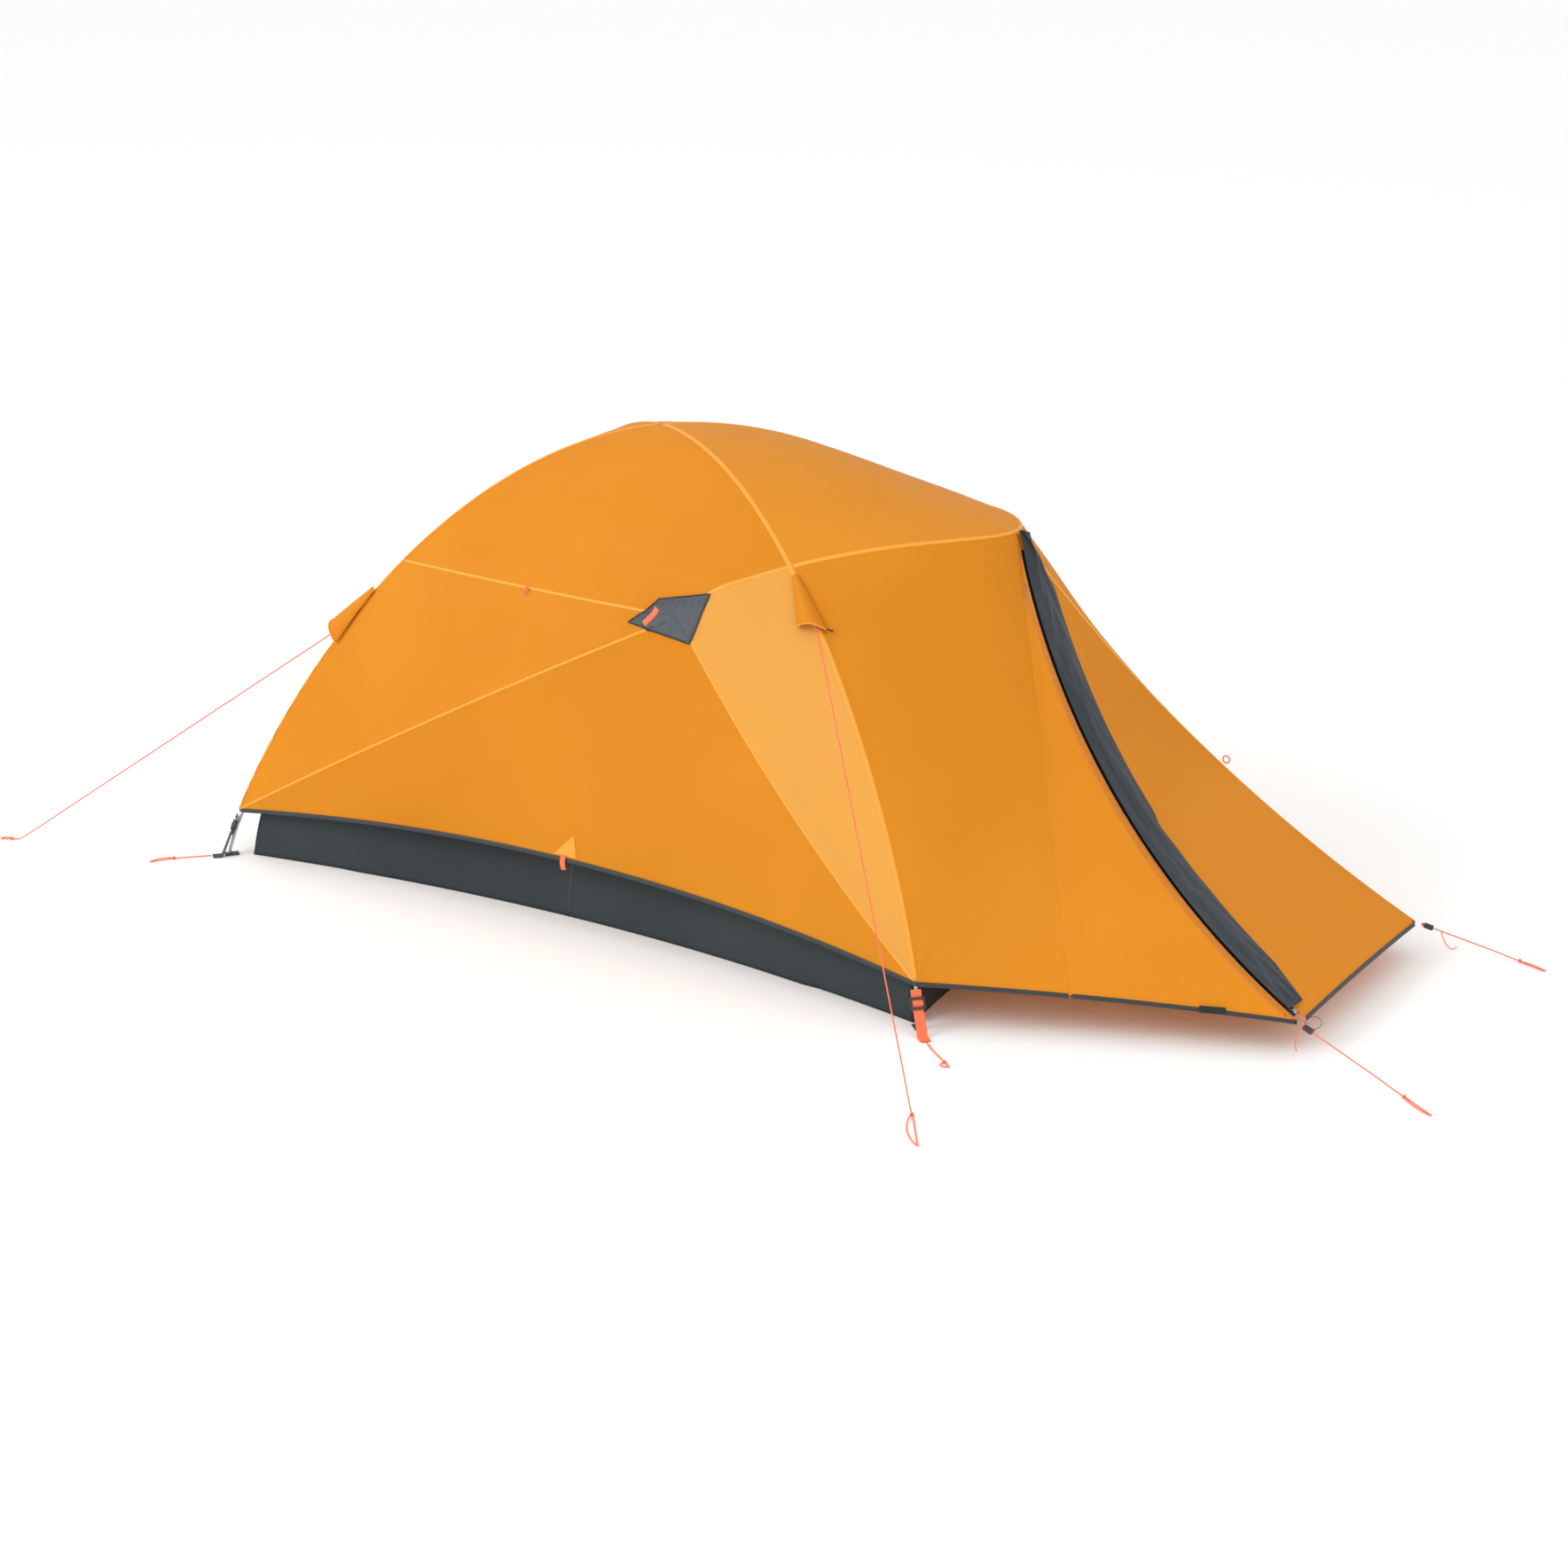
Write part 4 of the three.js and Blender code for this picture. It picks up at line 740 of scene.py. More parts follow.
inner_cloth = coated_cloth("breathable_inner_taffeta", "#CFC9BC", "#DDD8CC", through="#E8E2D4", share=0.3,
                           roughness=0.65)
binding = sewn_seam("bound_hem_tape", "#1F2224", "#2B2F31", "#43484B", rows=(0.003,), pitch=0.005)
zip_cloth = coated_cloth("zip_tape_twill", "#1D1E20", "#2A2B2E", threads=0.0016, roughness=0.62)
rust_piping = sewn_seam("piped_zip_seam", "#A8601E", "#C2721F", "#CF8236", rows=(0.0,))
orange_webbing = woven_webbing("orange_webbing", "#E8613A", "#FF7E50")
dark_webbing = woven_webbing("dark_webbing", "#1F2022", "#37393B")
orange_cord = braided_cord("orange_braided_cord", "#E8603A", "#FF8358")
black_acetal = moulded_acetal("black_acetal", "#1A1B1D", "#2B2D30")
pole_alloy = anodised_tube("anodised_pole_tube", "#A9ADB3")
slider_metal = anodised_tube("enamelled_zip_slider", "#2A2B2D", roughness=0.4)
blank_label = woven_webbing("woven_blank_label", "#121315", "#1E2022", rib=0.0009)


# ------------------------------------------------------------------ cords, as the frame lays them
CORD_ROUTES = {
    "guy_line_front_near": [
        (640, -433, 856), (762, -559, 690), (884, -685, 524), (1006, -811, 358), (1128, -937, 192),
        (1226, -1038, 59), (1262, -1076, 10), (1290, -1112, 2.4), (1328, -1170, 2.2), (1366, -1228, 2.2)],
    "guy_line_rear_near": [
        (-792, -440, 612), (-956, -511, 488), (-1120, -582, 364), (-1284, -653, 240), (-1448, -724, 116),
        (-1570, -777, 24), (-1600, -789, 4), (-1622, -799, 2.2), (-1648, -812, 2.2)],
    "porch_guy_near": [
        (1884, -364, 80), (1954, -385, 61), (2024, -406, 42), (2094, -427, 23), (2146, -443, 8),
        (2172, -452, 2.6), (2214, -481, 2.2), (2257, -512, 2.2)],
    "porch_guy_far": [
        (1884, 364, 80), (1940, 384, 61), (1996, 404, 42), (2052, 424, 23), (2093, 438, 8),
        (2114, 443, 2.6), (2150, 434, 2.2), (2187, 416, 2.2)],
    "stake_cord_front_near": [
        (1114, -732, 2.4), (1142, -758, 2.2), (1170, -782, 2.2), (1198, -804, 2.2), (1224, -826, 2.2)],
    "stake_cord_rear_near": [
        (-1084, -625, 2.4), (-1108, -646, 2.2), (-1132, -668, 2.2), (-1158, -694, 2.2), (-1192, -744, 2.2)],
}
# Where the stopper knot sits, as a share of each route, and how wide its stake loop opens in mm.
CORD_KNOTS = {
    "guy_line_front_near": (0.735, 9),
    "guy_line_rear_near": (0.86, 6),
    "porch_guy_near": (0.70, 4),
    "porch_guy_far": (0.70, 4),
    "stake_cord_front_near": (0.8, 8),
    "stake_cord_rear_near": (0.72, 6),
}


CLEAR_OF_GROUND = 0.0018
LOOP_CLEAR_OF_GROUND = 0.0022
LOOP_SIDES = 14


def stopper_knot(name, place, run, size):
    """An overhand knot drawn tight: three lobes of cord wound about the line."""
    angle = np.linspace(0, 2 * math.pi, 48, endpoint=False)
    x = np.sin(angle) + 2 * np.sin(2 * angle)
    y = np.cos(angle) - 2 * np.cos(2 * angle)
    z = -np.sin(3 * angle)
    side = unit(np.cross(run, [0.2, 0.3, 1.0]))
    up = np.cross(run, side)
    path = place + size * 0.33 * (np.outer(x, side) + np.outer(y, up) + 1.6 * np.outer(z, run))
    path[:, 2] = np.maximum(path[:, 2], CLEAR_OF_GROUND)
    return tube(name, path, 0.0014, sides=7, closed=True)


def lay_cords():
    for name, route in CORD_ROUTES.items():
        places = on_ground(route)
        line = smooth_line(places)
        path = line(np.linspace(0, 1, 6 * len(route) - 5))
        cord = tube(name + "_line", path, CORD_DIAMETER / 2000, sides=12)

        share, opening = CORD_KNOTS[name]
        knot_at = line(share)
        run = unit(line(share + 0.01) - line(share - 0.01))
        knot = stopper_knot(name + "_knot", knot_at, run, 0.0042)
        tail = line(np.linspace(share, 1.0, LOOP_SIDES))
        level = unit(np.cross(unit(np.gradient(tail, axis=0)), [0, 0, 1.0]))
        swing = np.sin(np.linspace(0, math.pi, LOOP_SIDES)) ** 0.7
        second = tail + level * (swing * opening * 0.002)[:, None]
        second[:, 2] = np.maximum(second[:, 2], LOOP_CLEAR_OF_GROUND)
        loop = tube(name + "_loop", second, CORD_DIAMETER / 2000 * 0.92, sides=8)
        for piece, stands_for in ((cord, (name,)), (knot, ()), (loop, ())):
            finish_piece(piece, TENT, orange_cord, stands_for)


lay_cords()


# ------------------------------------------------------------------ the fly
ACROSS = 84
LEG_LOW = 52
LEG_HIGH = 60


def slack(places, u, v, seed, depth):
    """How far the stretched cloth lies off its even shape, in millimetres: long low swells,
    none at its seams."""
    edge = np.minimum(np.minimum(u, 1 - u), np.minimum(v, 1 - v))
    window = np.clip(edge / 0.14, 0, 1)
    window = window * window * (3 - 2 * window)
    local = np.random.default_rng(seed)
    total = np.zeros(u.shape)
    for _ in range(5):
        way = local.normal(size=3)
        way /= np.linalg.norm(way)
        length = local.uniform(260, 620)
        total += np.sin(places @ way * 2 * math.pi / length + local.uniform(0, 6.28)) / 5
    return total * window * depth


def corner_folds(places, corner, reach, depth, folds, seed):
    """Small folds that fan out from a pulled corner and die away over reach millimetres."""
    local = np.random.default_rng(seed)
    away = places - corner
    distance = np.linalg.norm(away, axis=-1)
    first = unit(local.normal(size=3))
    second = unit(np.cross(first, [0.3, 1.0, 0.2]))
    angle = np.arctan2(away @ first, away @ second)
    fade = np.exp(-distance / reach) * np.clip(distance / 30, 0, 1)
    return depth * np.sin(angle * folds) * fade


def panel_grid(surface, us, vs, seed, depth, corners=(), belly=0.0):
    """A panel's places and cloth coordinates. belly is how far its middle stands out, in mm."""
    u, v = np.meshgrid(us, vs)
    step = 0.002
    places = surface(u, v)
    along_u = surface(np.minimum(1, u + step), v) - surface(np.maximum(0, u - step), v)
    along_v = surface(u, np.minimum(1, v + step)) - surface(u, np.maximum(0, v - step))
    normal = unit(np.cross(along_u, along_v))
    outward = dot(normal, places - np.array([0, 0, 250.0]))
    normal = normal * np.where(outward < 0, -1, 1)
    lift = slack(places, u, v, seed, depth) + belly * hump(u) * hump(v)
    edge = np.clip(np.minimum(np.minimum(u, 1 - u), np.minimum(v, 1 - v)) / 0.03, 0, 1)
    for corner, reach, fold_depth, folds in corners:
        lift = lift + corner_folds(places, corner, reach, fold_depth, folds, seed) * edge
    places = places + normal * lift[..., None]
    width = np.linalg.norm(surface(1.0, 0.3) - surface(0.0, 0.3))
    height = np.linalg.norm(surface(0.5, 1.0) - surface(0.5, 0.0))
    uv = np.stack([u * width, v * height], -1) * 0.001
    return places, uv


def sewn_cloth(name, panels, painted_lights_and_shades=()):
    """One sheet from panels whose shared edges have the same places, welded along them. The last argument gives
    each panel its painted light and shade: how much paler it is drawn where light falls on it and glows through it,
    and how much darker where it is shaded."""
    vertices, faces, uvs, shades = [], [], [], []
    count = 0
    for k, (places, uv) in enumerate(panels):
        rows, columns = places.shape[:2]
        vertices.append(on_ground(places.reshape(-1, 3)))
        uvs.append(uv.reshape(-1, 2))
        faces += grid_faces(rows, columns, start=count)
        shades += [painted_lights_and_shades[k] if painted_lights_and_shades else 0.0] * ((rows - 1) * (columns - 1))
        count += rows * columns
    piece = mesh_piece(name, np.vstack(vertices), faces, uv=np.vstack(uvs))
    piece.data.attributes.new("painted_light_and_shade", "FLOAT", "FACE").data.foreach_set("value", shades)
    weld(piece)
    return piece


def cut_fly():
    even = np.linspace(0, 1, ACROSS + 1)
    low = np.linspace(0, 1, LEG_LOW + 1)
    high = np.linspace(0, 1, LEG_HIGH + 1)
    split = (REAR_SEAM_TURN - REAR_HEM_TURN) / (CROSSING_TURN - REAR_HEM_TURN)
    up_the_back = np.concatenate([low * split, split + high[1:] * (1 - split)])
    panels = []
    rear = stretched(rear_hem, still(apex), rear_leg(NEAR, REAR_HEM_TURN, CROSSING_TURN),
                     rear_leg(FAR, REAR_HEM_TURN, CROSSING_TURN))
    panels.append(panel_grid(rear, np.linspace(0, 1, 73), up_the_back, 3, 4.0))
    for side in (NEAR, FAR):
        tail = brow_tail(side)
        corner = seam_corner(side)
        upper = stretched(lambda u: tail(1 - u), rear_leg(side, REAR_SEAM_TURN, CROSSING_TURN), top_seam(side),
                          front_leg(side, BROW_TURN, CROSSING_TURN))
        panels.append(panel_grid(upper, high, even, 11 + side, 4.0))
        rear_side = stretched(rear_leg(side, REAR_HEM_TURN, REAR_SEAM_TURN), still(corner),
                              lambda v: rear_seam(side)(1 - v), lambda v: top_seam(side)(1 - v))
        panels.append(panel_grid(rear_side, low, even, 21 + side, 3.0,
                                 [(rear_hem_corner(side), 130, 2.0, 9)]))
        lower = stretched(side_hem(side), still(corner), lambda v: rear_seam(side)(1 - v),
                          lambda v: front_seam(side)(1 - v))
        panels.append(panel_grid(lower, np.linspace(0, 1, 121), even, 31 + side, 4.0,
                                 [(front_hem_corner(side), 110, 2.0, 11), (corner, 90, 1.5, 8)]))
        front_side = stretched(lambda u: tail(1 - u), still(front_hem_corner(side)), front_seam(side),
                               front_leg(side, BROW_TURN, FRONT_HEM_TURN))
        panels.append(panel_grid(front_side, high, even, 41 + side, 4.0,
                                 [(front_hem_corner(side), 120, 2.0, 12)]))
    far_y = -brow_crossing[1]
    roof = stretched(front_leg(NEAR, CROSSING_TURN, BROW_TURN), lambda u: brow_point(mix(far_y, 0, u)),
                     front_leg(FAR, CROSSING_TURN, BROW_TURN), lambda v: brow_point(mix(-far_y, 0, v)))
    panels.append(panel_grid(roof, even, even, 51, 5.0, belly=-16.0))
    far_porch = stretched(porch_hem(FAR), lambda u: brow_point(mix(far_y, 0, u)),
                          front_leg(FAR, FRONT_HEM_TURN, BROW_TURN), far_ridge)
    panels.append(panel_grid(far_porch, even, even, 61, 5.0, belly=-26.0))
    panels.append(panel_grid(across_fold(False), even, even, 62, 4.0,
                             [(front_hem_corner(NEAR), 120, 2.0, 12)]))
    panels.append(panel_grid(front_panel, np.linspace(0, 1, 61), even, 71, 5.0))
    names = [f"fly_{part}_{label}" for part in ("upper_side", "rear_side", "lower_side", "front_side")
             for label in ("near", "far")]
    names += ["fly_rear", "fly_roof_front", "fly_porch_far", "fly_porch_near", "fly_porch_front"]
    # rear, then the near and far sides (upper, rear, lower, front), roof, far, near and front porch
    # Painted light and shade, one value for each panel in this order: above zero a panel is drawn paler for light
    # falling on it and glowing through it, below zero darker for shade.
    painted_lights_and_shades = [0.0] + [0.0, 0.0, -0.02, 0.25] + [0.0, 0.0, 0.0, 0.06] + [0.04, 0.0, -0.03, -0.02]
    fly = finish_piece(sewn_cloth("fly_sheet", panels, painted_lights_and_shades), TENT, ripstop_fly, names)

    door_panel = panel_grid(across_fold(True), np.linspace(0, 1, 57), even * DOOR_FOOT_TRIM, 81, 4.0)
    door = sewn_cloth("porch_door_cloth", [door_panel])
    finish_piece(door, "porch_door_flap", ripstop_fly, ["porch_door"])
    return fly, door


fly, door = cut_fly()
fly_face = ClothFace(fly)
door_face = ClothFace(door)


def sew_seams():
    """Every seam of the fly: the leg and brow seams are broad sleeve seams, the rest narrow."""
    lines = []
    for side, label in ((NEAR, "near"), (FAR, "far")):
        lines += [
            (f"seam_front_leg_{label}", front_leg(side, CROSSING_TURN, FRONT_HEM_TURN), 11),
            (f"seam_rear_leg_{label}", rear_leg(side, REAR_HEM_TURN, CROSSING_TURN), 10),
            (f"seam_top_{label}", top_seam(side), 7),
            (f"seam_rear_{label}", rear_seam(side), 7),
            (f"seam_front_{label}", front_seam(side), 8),
            (f"seam_brow_tail_{label}", brow_tail(side), 11),
        ]
    far_y = -brow_crossing[1]
    lines.append(("seam_brow", lambda s: brow_point(mix(-far_y, far_y, np.asarray(s))), 11))
    lines.append(("seam_far_ridge", far_ridge, 9))
    for name, line, width in lines:
        strip = lay_strip(name, fly_face, on_ground(line(mix(0.004, 0.996, np.linspace(0, 1, 90)))),
                          width / 1000, 0.0011)
        finish_piece(strip, TENT, felled_seam, ())


sew_seams()


# ------------------------------------------------------------------ hems, patches and hoods
def bind_hems():
    """Folded tape over the cut edge of the fly, with a row of stitches along each side."""
    def bound(name, line, samples, body, replaces=(), trim=0.001):
        edge = line(mix(trim, 1 - trim, np.linspace(0, 1, samples)))
        outward = unit(point(edge[:, 0] / HALF_LENGTH, 1.6 * edge[:, 1] / (FLOOR_WIDTH_REAR / 2), 0.0))
        down = np.array([0, 0, -1.0])
        section = [(2.4, 3.2), (3.1, 0.8), (3.4, -2.0), (4.0, -5.0), (4.4, -6.4), (3.6, -6.9),
                   (2.6, -6.0), (1.4, -2.4), (0.2, -0.4), (-1.0, 1.2), (-0.6, 3.4), (1.0, 3.8)]
        flutter = 0.8 * np.sin(np.linspace(0, 40, samples)) * np.sin(np.linspace(0, 7, samples))
        columns = [edge + outward * (o + flutter[:, None] * (0.4 if z < 0 else 0.1)) - down * z
                   for o, z in section]
        vertices = on_ground(np.stack(columns, 1).reshape(-1, 3))
        count = len(section)
        faces = grid_faces(samples, count, closed=True)
        faces += [tuple(reversed(range(count))), tuple(range((samples - 1) * count, samples * count))]
        along = np.concatenate([[0], np.cumsum(np.linalg.norm(np.diff(edge, axis=0), axis=1))]) * 0.001
        uv = np.stack([np.repeat(along, count), np.tile([z * 0.001 + 0.002 for _, z in section], samples)], 1)
        piece = mesh_piece(name, vertices, faces, uv=uv)
        work = bmesh.new()
        work.from_mesh(piece.data)
        bmesh.ops.recalc_face_normals(work, faces=work.faces)
        work.to_mesh(piece.data)
        work.free()
        return finish_piece(piece, body, binding, replaces)

    def chain(lines):
        def at(t):
            t = np.asarray(t, float)
            k = np.clip(np.floor(t * len(lines)).astype(int), 0, len(lines) - 1)
            return np.stack([lines[i](s * len(lines) - i) for i, s in zip(k, t)])
        return at

    around = chain([lambda t: porch_hem(NEAR)(mix(DOOR_FOLD_SHARE - HEM_FOLD_CLEAR, 0, t)), lambda t: side_hem(NEAR)(1 - t),
                    rear_hem, side_hem(FAR), lambda t: porch_hem(FAR)(t * 0.985),
                    lambda t: front_hem(mix(0.985, 0, t))])
    bound("fly_hem_binding", around, 420, TENT, ["hem_tape"])
    bound("door_hem_binding", lambda t: porch_hem(NEAR)(mix(DOOR_FOLD_SHARE, 1, np.asarray(t))), 60,
          "porch_door_flap", ["door_hem_tape"], trim=0.01)


bind_hems()


def sewn_patch(name, corners, cloth, across, along, lift, relief, material, replaces):
    """A patch of cloth between four places on the fly, laid on it and lifted by its own folds."""
    left, bottom, right, top = (np.asarray(c, float) for c in corners)
    u, v = np.meshgrid(np.linspace(0, 1, across), np.linspace(0, 1, along))
    flat = lerp(lerp(left, bottom, u), lerp(top, right, u), v).reshape(-1, 3)
    edge = np.minimum(np.minimum(u, 1 - u), np.minimum(v, 1 - v)).ravel()
    folds = np.maximum(relief(u.ravel(), v.ravel()), -0.4 * lift)
    height = lift * np.clip(edge / 0.05, 0.35, 1) + folds * np.clip(edge / 0.06, 0, 1)
    laid, _ = cloth.lay(on_ground(flat), height)
    size = np.linalg.norm(bottom - left) * 0.001, np.linalg.norm(top - left) * 0.001
    piece = mesh_piece(name, laid, grid_faces(along, across),
                       uv=np.stack([u.ravel() * size[0], v.ravel() * size[1]], 1))
    weld(piece, 0.00001)
    thicken(piece, 0.0006)
    return finish_piece(piece, TENT, material, replaces)


# Corners of the near brow patch in the part's own millimetres, with the side's sign still to come.
BROW_PATCH_CORNERS = ((118, 440, 779), (304, 452, 757), (350, 432, 884), (196, 420, 846))
BROW_TAB_LINE = ((196, 440, 828), (190, 444, 815), (180, 448, 800), (170, 450, 786))
HEM_ANCHOR_SHARE = 0.49
HEM_ANCHOR_HALF = 36
HEM_ANCHOR_RISE = 66


def on_side(side, places):
    return [(x, side * y, z) for x, y, z in places]


def sew_patches():
    """The dark gathered patch over each end of the brow pole, with a pull tab, and the small
    three-cornered patch on the middle of each long hem."""
    def gathers(u, v):
        fan = np.sin(46 * u + 9 * v * v + 1.5 * np.sin(11 * v)) * np.exp(-((1 - v) / 0.42) ** 2)
        pull = np.sin(38 * v + 8 * u) * np.exp(-(u / 0.28) ** 2)
        slack_ = np.sin(7 * u + 3 * v) * np.sin(5 * v + 1)
        return 0.0026 * fan + 0.0022 * pull + 0.0022 * slack_

    for side, label in ((NEAR, "near"), (FAR, "far")):
        corners = on_side(side, BROW_PATCH_CORNERS)
        sewn_patch(f"brow_patch_{label}_cloth", corners, fly_face, 90, 60, 0.0055, gathers,
                   gathered_patch_cloth, [f"brow_patch_{label}"])
        edge = corners + corners[:1]
        rim = np.vstack([lerp(np.array(a, float), np.array(b, float), np.linspace(0, 1, 20)[:-1])
                         for a, b in zip(edge, edge[1:])])
        laid, _ = fly_face.lay(on_ground(rim), 0.0024)
        finish_piece(tube(f"brow_patch_{label}_edge", laid, 0.0014, sides=6, closed=True), TENT,
                     storm_flap_cloth, ())
        tab_line = np.array(on_side(side, BROW_TAB_LINE), float)
        tab_places = on_ground(smooth_line(tab_line)(np.linspace(0, 1, 18)))
        tab = lay_strip(f"brow_tab_{label}", fly_face, tab_places, 0.016, 0.0095, [(-1, 0.9), (-0.5, 1.05), (0, 1.15), (0.5, 1.05), (1, 0.9)])
        finish_piece(tab, TENT, orange_webbing, ())

        hem = side_hem(side)
        foot, tip = hem(HEM_ANCHOR_SHARE), seam_corner(side)
        rise = unit(tip - foot)
        half = HEM_ANCHOR_HALF / FLOOR_LENGTH
        low_left, low_right = hem(HEM_ANCHOR_SHARE - half), hem(HEM_ANCHOR_SHARE + half)
        top = foot + rise * HEM_ANCHOR_RISE
        sewn_patch(f"hem_anchor_{label}_patch",
                   [low_left + rise * 6, low_right + rise * 6, top + (4, 0, 0), top - (4, 0, 0)],
                   fly_face, 30, 30, 0.0018, lambda u, v: 0 * u, felled_seam, [f"hem_anchor_{label}"])
        hang = np.array([foot + (0, side * 3, 8), foot + (0, side * 7, -4), foot + (2, side * 9, -16),
                         foot + (4, side * 8, -26)])
        flat_tab(f"hem_anchor_{label}_tab", hang, 15, np.array([1.0, 0, 0]), orange_webbing)


def flat_tab(name, line, width, across, material, body=TENT, thickness=1.8, taper=1.0):
    """A short piece of flat webbing along a bent line, its edges rounded."""
    path = smooth_line(line)(np.linspace(0, 1, 24))
    run = unit(np.gradient(path, axis=0))
    side = unit(across - run * dot(np.broadcast_to(across, run.shape), run))
    out = np.cross(run, side)
    half, thick = width / 2, thickness / 2
    section = [(-1, 0), (-0.94, 0.8), (-0.5, 1), (0, 1), (0.5, 1), (0.94, 0.8), (1, 0), (0.94, -0.8),
               (0.5, -1), (0, -1), (-0.5, -1), (-0.94, -0.8)]
    narrow = np.linspace(1, taper, len(path))[:, None]
    columns = [path + side * a * half * narrow + out * b * thick for a, b in section]
    vertices = on_ground(np.stack(columns, 1).reshape(-1, 3))
    count = len(section)
    faces = grid_faces(len(path), count, closed=True)
    faces += [tuple(reversed(range(count))), tuple(range((len(path) - 1) * count, len(path) * count))]
    piece = mesh_piece(name, vertices, faces)
    work = bmesh.new()
    work.from_mesh(piece.data)
    bmesh.ops.recalc_face_normals(work, faces=work.faces)
    work.to_mesh(piece.data)
    work.free()
    return finish_piece(piece, body, material, ())


sew_patches()


def sew_hoods():
    """Cone hoods over the guy points: the cloth is rolled at the mouth, and a dark disc set just inside the mouth
    is painted shade in the hollow of the hood.
    """
    front_low = math.asin((BROW_CROSSING_X + 112) / HALF_LENGTH)
    rear_top = REAR_SEAM_TURN - 0.075
    for side, label in ((NEAR, "near"), (FAR, "far")):
        for name, arch, top_turn, low_turn in (
            (f"guy_hood_front_{label}", side, BROW_TURN + 0.022, front_low),
            (f"guy_hood_rear_{label}", -side, rear_top, rear_top - 0.1),
        ):
            top = arch_point(arch, top_turn)
            down = unit(arch_point(arch, low_turn) - top)
            out = -leg_inward(arch, (top_turn + low_turn) / 2)
            out = unit(out - down * (out @ down))
            across = unit(np.cross(down, out))
            u, v = np.meshgrid(np.linspace(0, 1, 41), np.linspace(0, 1, 25))
            angle = mix(math.pi, 0, u)
            porch_side = 0.5 + 0.5 * np.cos(angle) * np.sign(across[0])
            turn = mix(top_turn, top_turn + (low_turn - top_turn) * (0.92 + 0.32 * porch_side), v)
            half = mix(7, 32, v)
            rise = mix(5, 26, v) * (1 - 0.1 * np.sin(3 * angle) * v)
            lift = 5 - 0.22 * half * np.cos(angle) ** 2 + rise * np.sin(angle)
            set_back = -14 * v * np.sign(across[0])
            places = (arch_point(arch, turn) + across * (half * np.cos(angle) + set_back)[..., None]
                      + out * lift[..., None])
            size = np.stack([u * 0.076, v * 0.1], -1).reshape(-1, 2)
            cone = mesh_piece(name + "_cone", on_ground(places.reshape(-1, 3)), grid_faces(25, 41), uv=size)
            weld(cone, 0.00001)
            thicken(cone, 0.0008)
            finish_piece(cone, TENT, ripstop_fly, [name])
            rim = tube(name + "_rim", on_ground(places[-1]), 0.0019, sides=8)
            finish_piece(rim, TENT, felled_seam, ())
            # A dark flat disc across the hood a little inside its mouth: painted shade in the hollow of the hood.
            inset = on_ground(places[19])
            inset = inset + (inset.mean(axis=0) - inset) * 0.06
            disc = [tuple(range(len(inset)))]
            painted_mouth_shade = mesh_piece(name + "_lining", inset, disc, uv=inset[:, :2], smooth=False)
            finish_piece(painted_mouth_shade, TENT, zip_cloth, ())


sew_hoods()


def tie_loops():
    """Small cord loops: under the rear side seam, at the mouth of each front hood, at the porch
    corner, and the round wire end beside it."""
    def loop(name, place, along, wide, long_, radius, material, slot, body=TENT, lean=0.4):
        angle = np.linspace(0, 2 * math.pi, 28, endpoint=False)
        along = unit(np.asarray(along, float))
        side = unit(np.cross(along, [0.1, -1.0, lean]))
        path = (np.asarray(place, float) + np.outer(np.sin(angle) * wide / 2, side)
                + np.outer((1 - np.cos(angle)) * long_ / 2, along))
        piece = tube(name, on_ground(path), radius / 1000, sides=7, closed=True)
        return finish_piece(piece, body, material, ())

    for side, label in ((NEAR, "near"), (FAR, "far")):
        loop(f"rear_seam_loop_{label}", (-221, side * 388, 806), (0.1, side * 0.35, -1), 7, 24, 1.5,
             orange_cord, "orange_cord")
        loop(f"rear_seam_loop_inner_{label}", (-214, side * 388, 803), (-0.35, side * 0.35, -1), 5, 20, 1.4,
             orange_cord, "orange_cord")
    loop("hood_knot_loop", (640, -430, 857), (0.2, -0.25, -1), 10, 14, 1.5, orange_cord, "orange_cord")
    loop("rear_hood_knot_loop", (-790, -438, 612), (-0.7, -0.3, -0.4), 9, 14, 1.5, orange_cord, "orange_cord")
    for name, place, run in (
        ("hood_knot", (641, -436, 854), (0.5, -0.5, -0.7)),
        ("rear_hood_knot", (-796, -442, 610), (-0.7, -0.3, -0.55)),
        ("porch_near_knot", (1888, -366, 78), (0.93, -0.28, -0.25)),
        ("porch_far_knot", (1888, 366, 78), (0.9, 0.32, -0.3)),
    ):
        knot = stopper_knot(name, on_ground(np.array(place, float)), unit(np.array(run)), 0.0038)
        finish_piece(knot, TENT, orange_cord, ())
    toggle = tube("hood_toggle", on_ground(np.array([(655, -428, 846), (668, -426, 844), (682, -424, 842)])),
                  0.0022)
    finish_piece(toggle, TENT, black_acetal, ())
    angle = np.linspace(0, 2 * math.pi, 40, endpoint=False)
    ring = (np.array([1906, -352, 86]) + np.outer(np.cos(angle) * 19, unit(np.array([0.8, 0.55, 0.1])))
            + np.outer(np.sin(angle) * 14, unit(np.array([-0.3, 0.3, 0.9]))))
    finish_piece(tube("porch_wire_ring", on_ground(ring), 0.0007, sides=6, closed=True), TENT,
                 dark_webbing, ())
    for name, line in (
        ("porch_near_tail", [(1884, -366, 76), (1876, -372, 56), (1874, -376, 34), (1880, -380, 20)]),
        ("porch_far_tail", [(1930, 382, 62), (1938, 380, 44), (1950, 378, 30), (1962, 380, 24), (1970, 386, 30)]),
    ):
        tail = tube(name, on_ground(smooth_line(np.array(line, float))(np.linspace(0, 1, 20))), 0.0014)
        finish_piece(tail, TENT, orange_cord, ())


tie_loops()


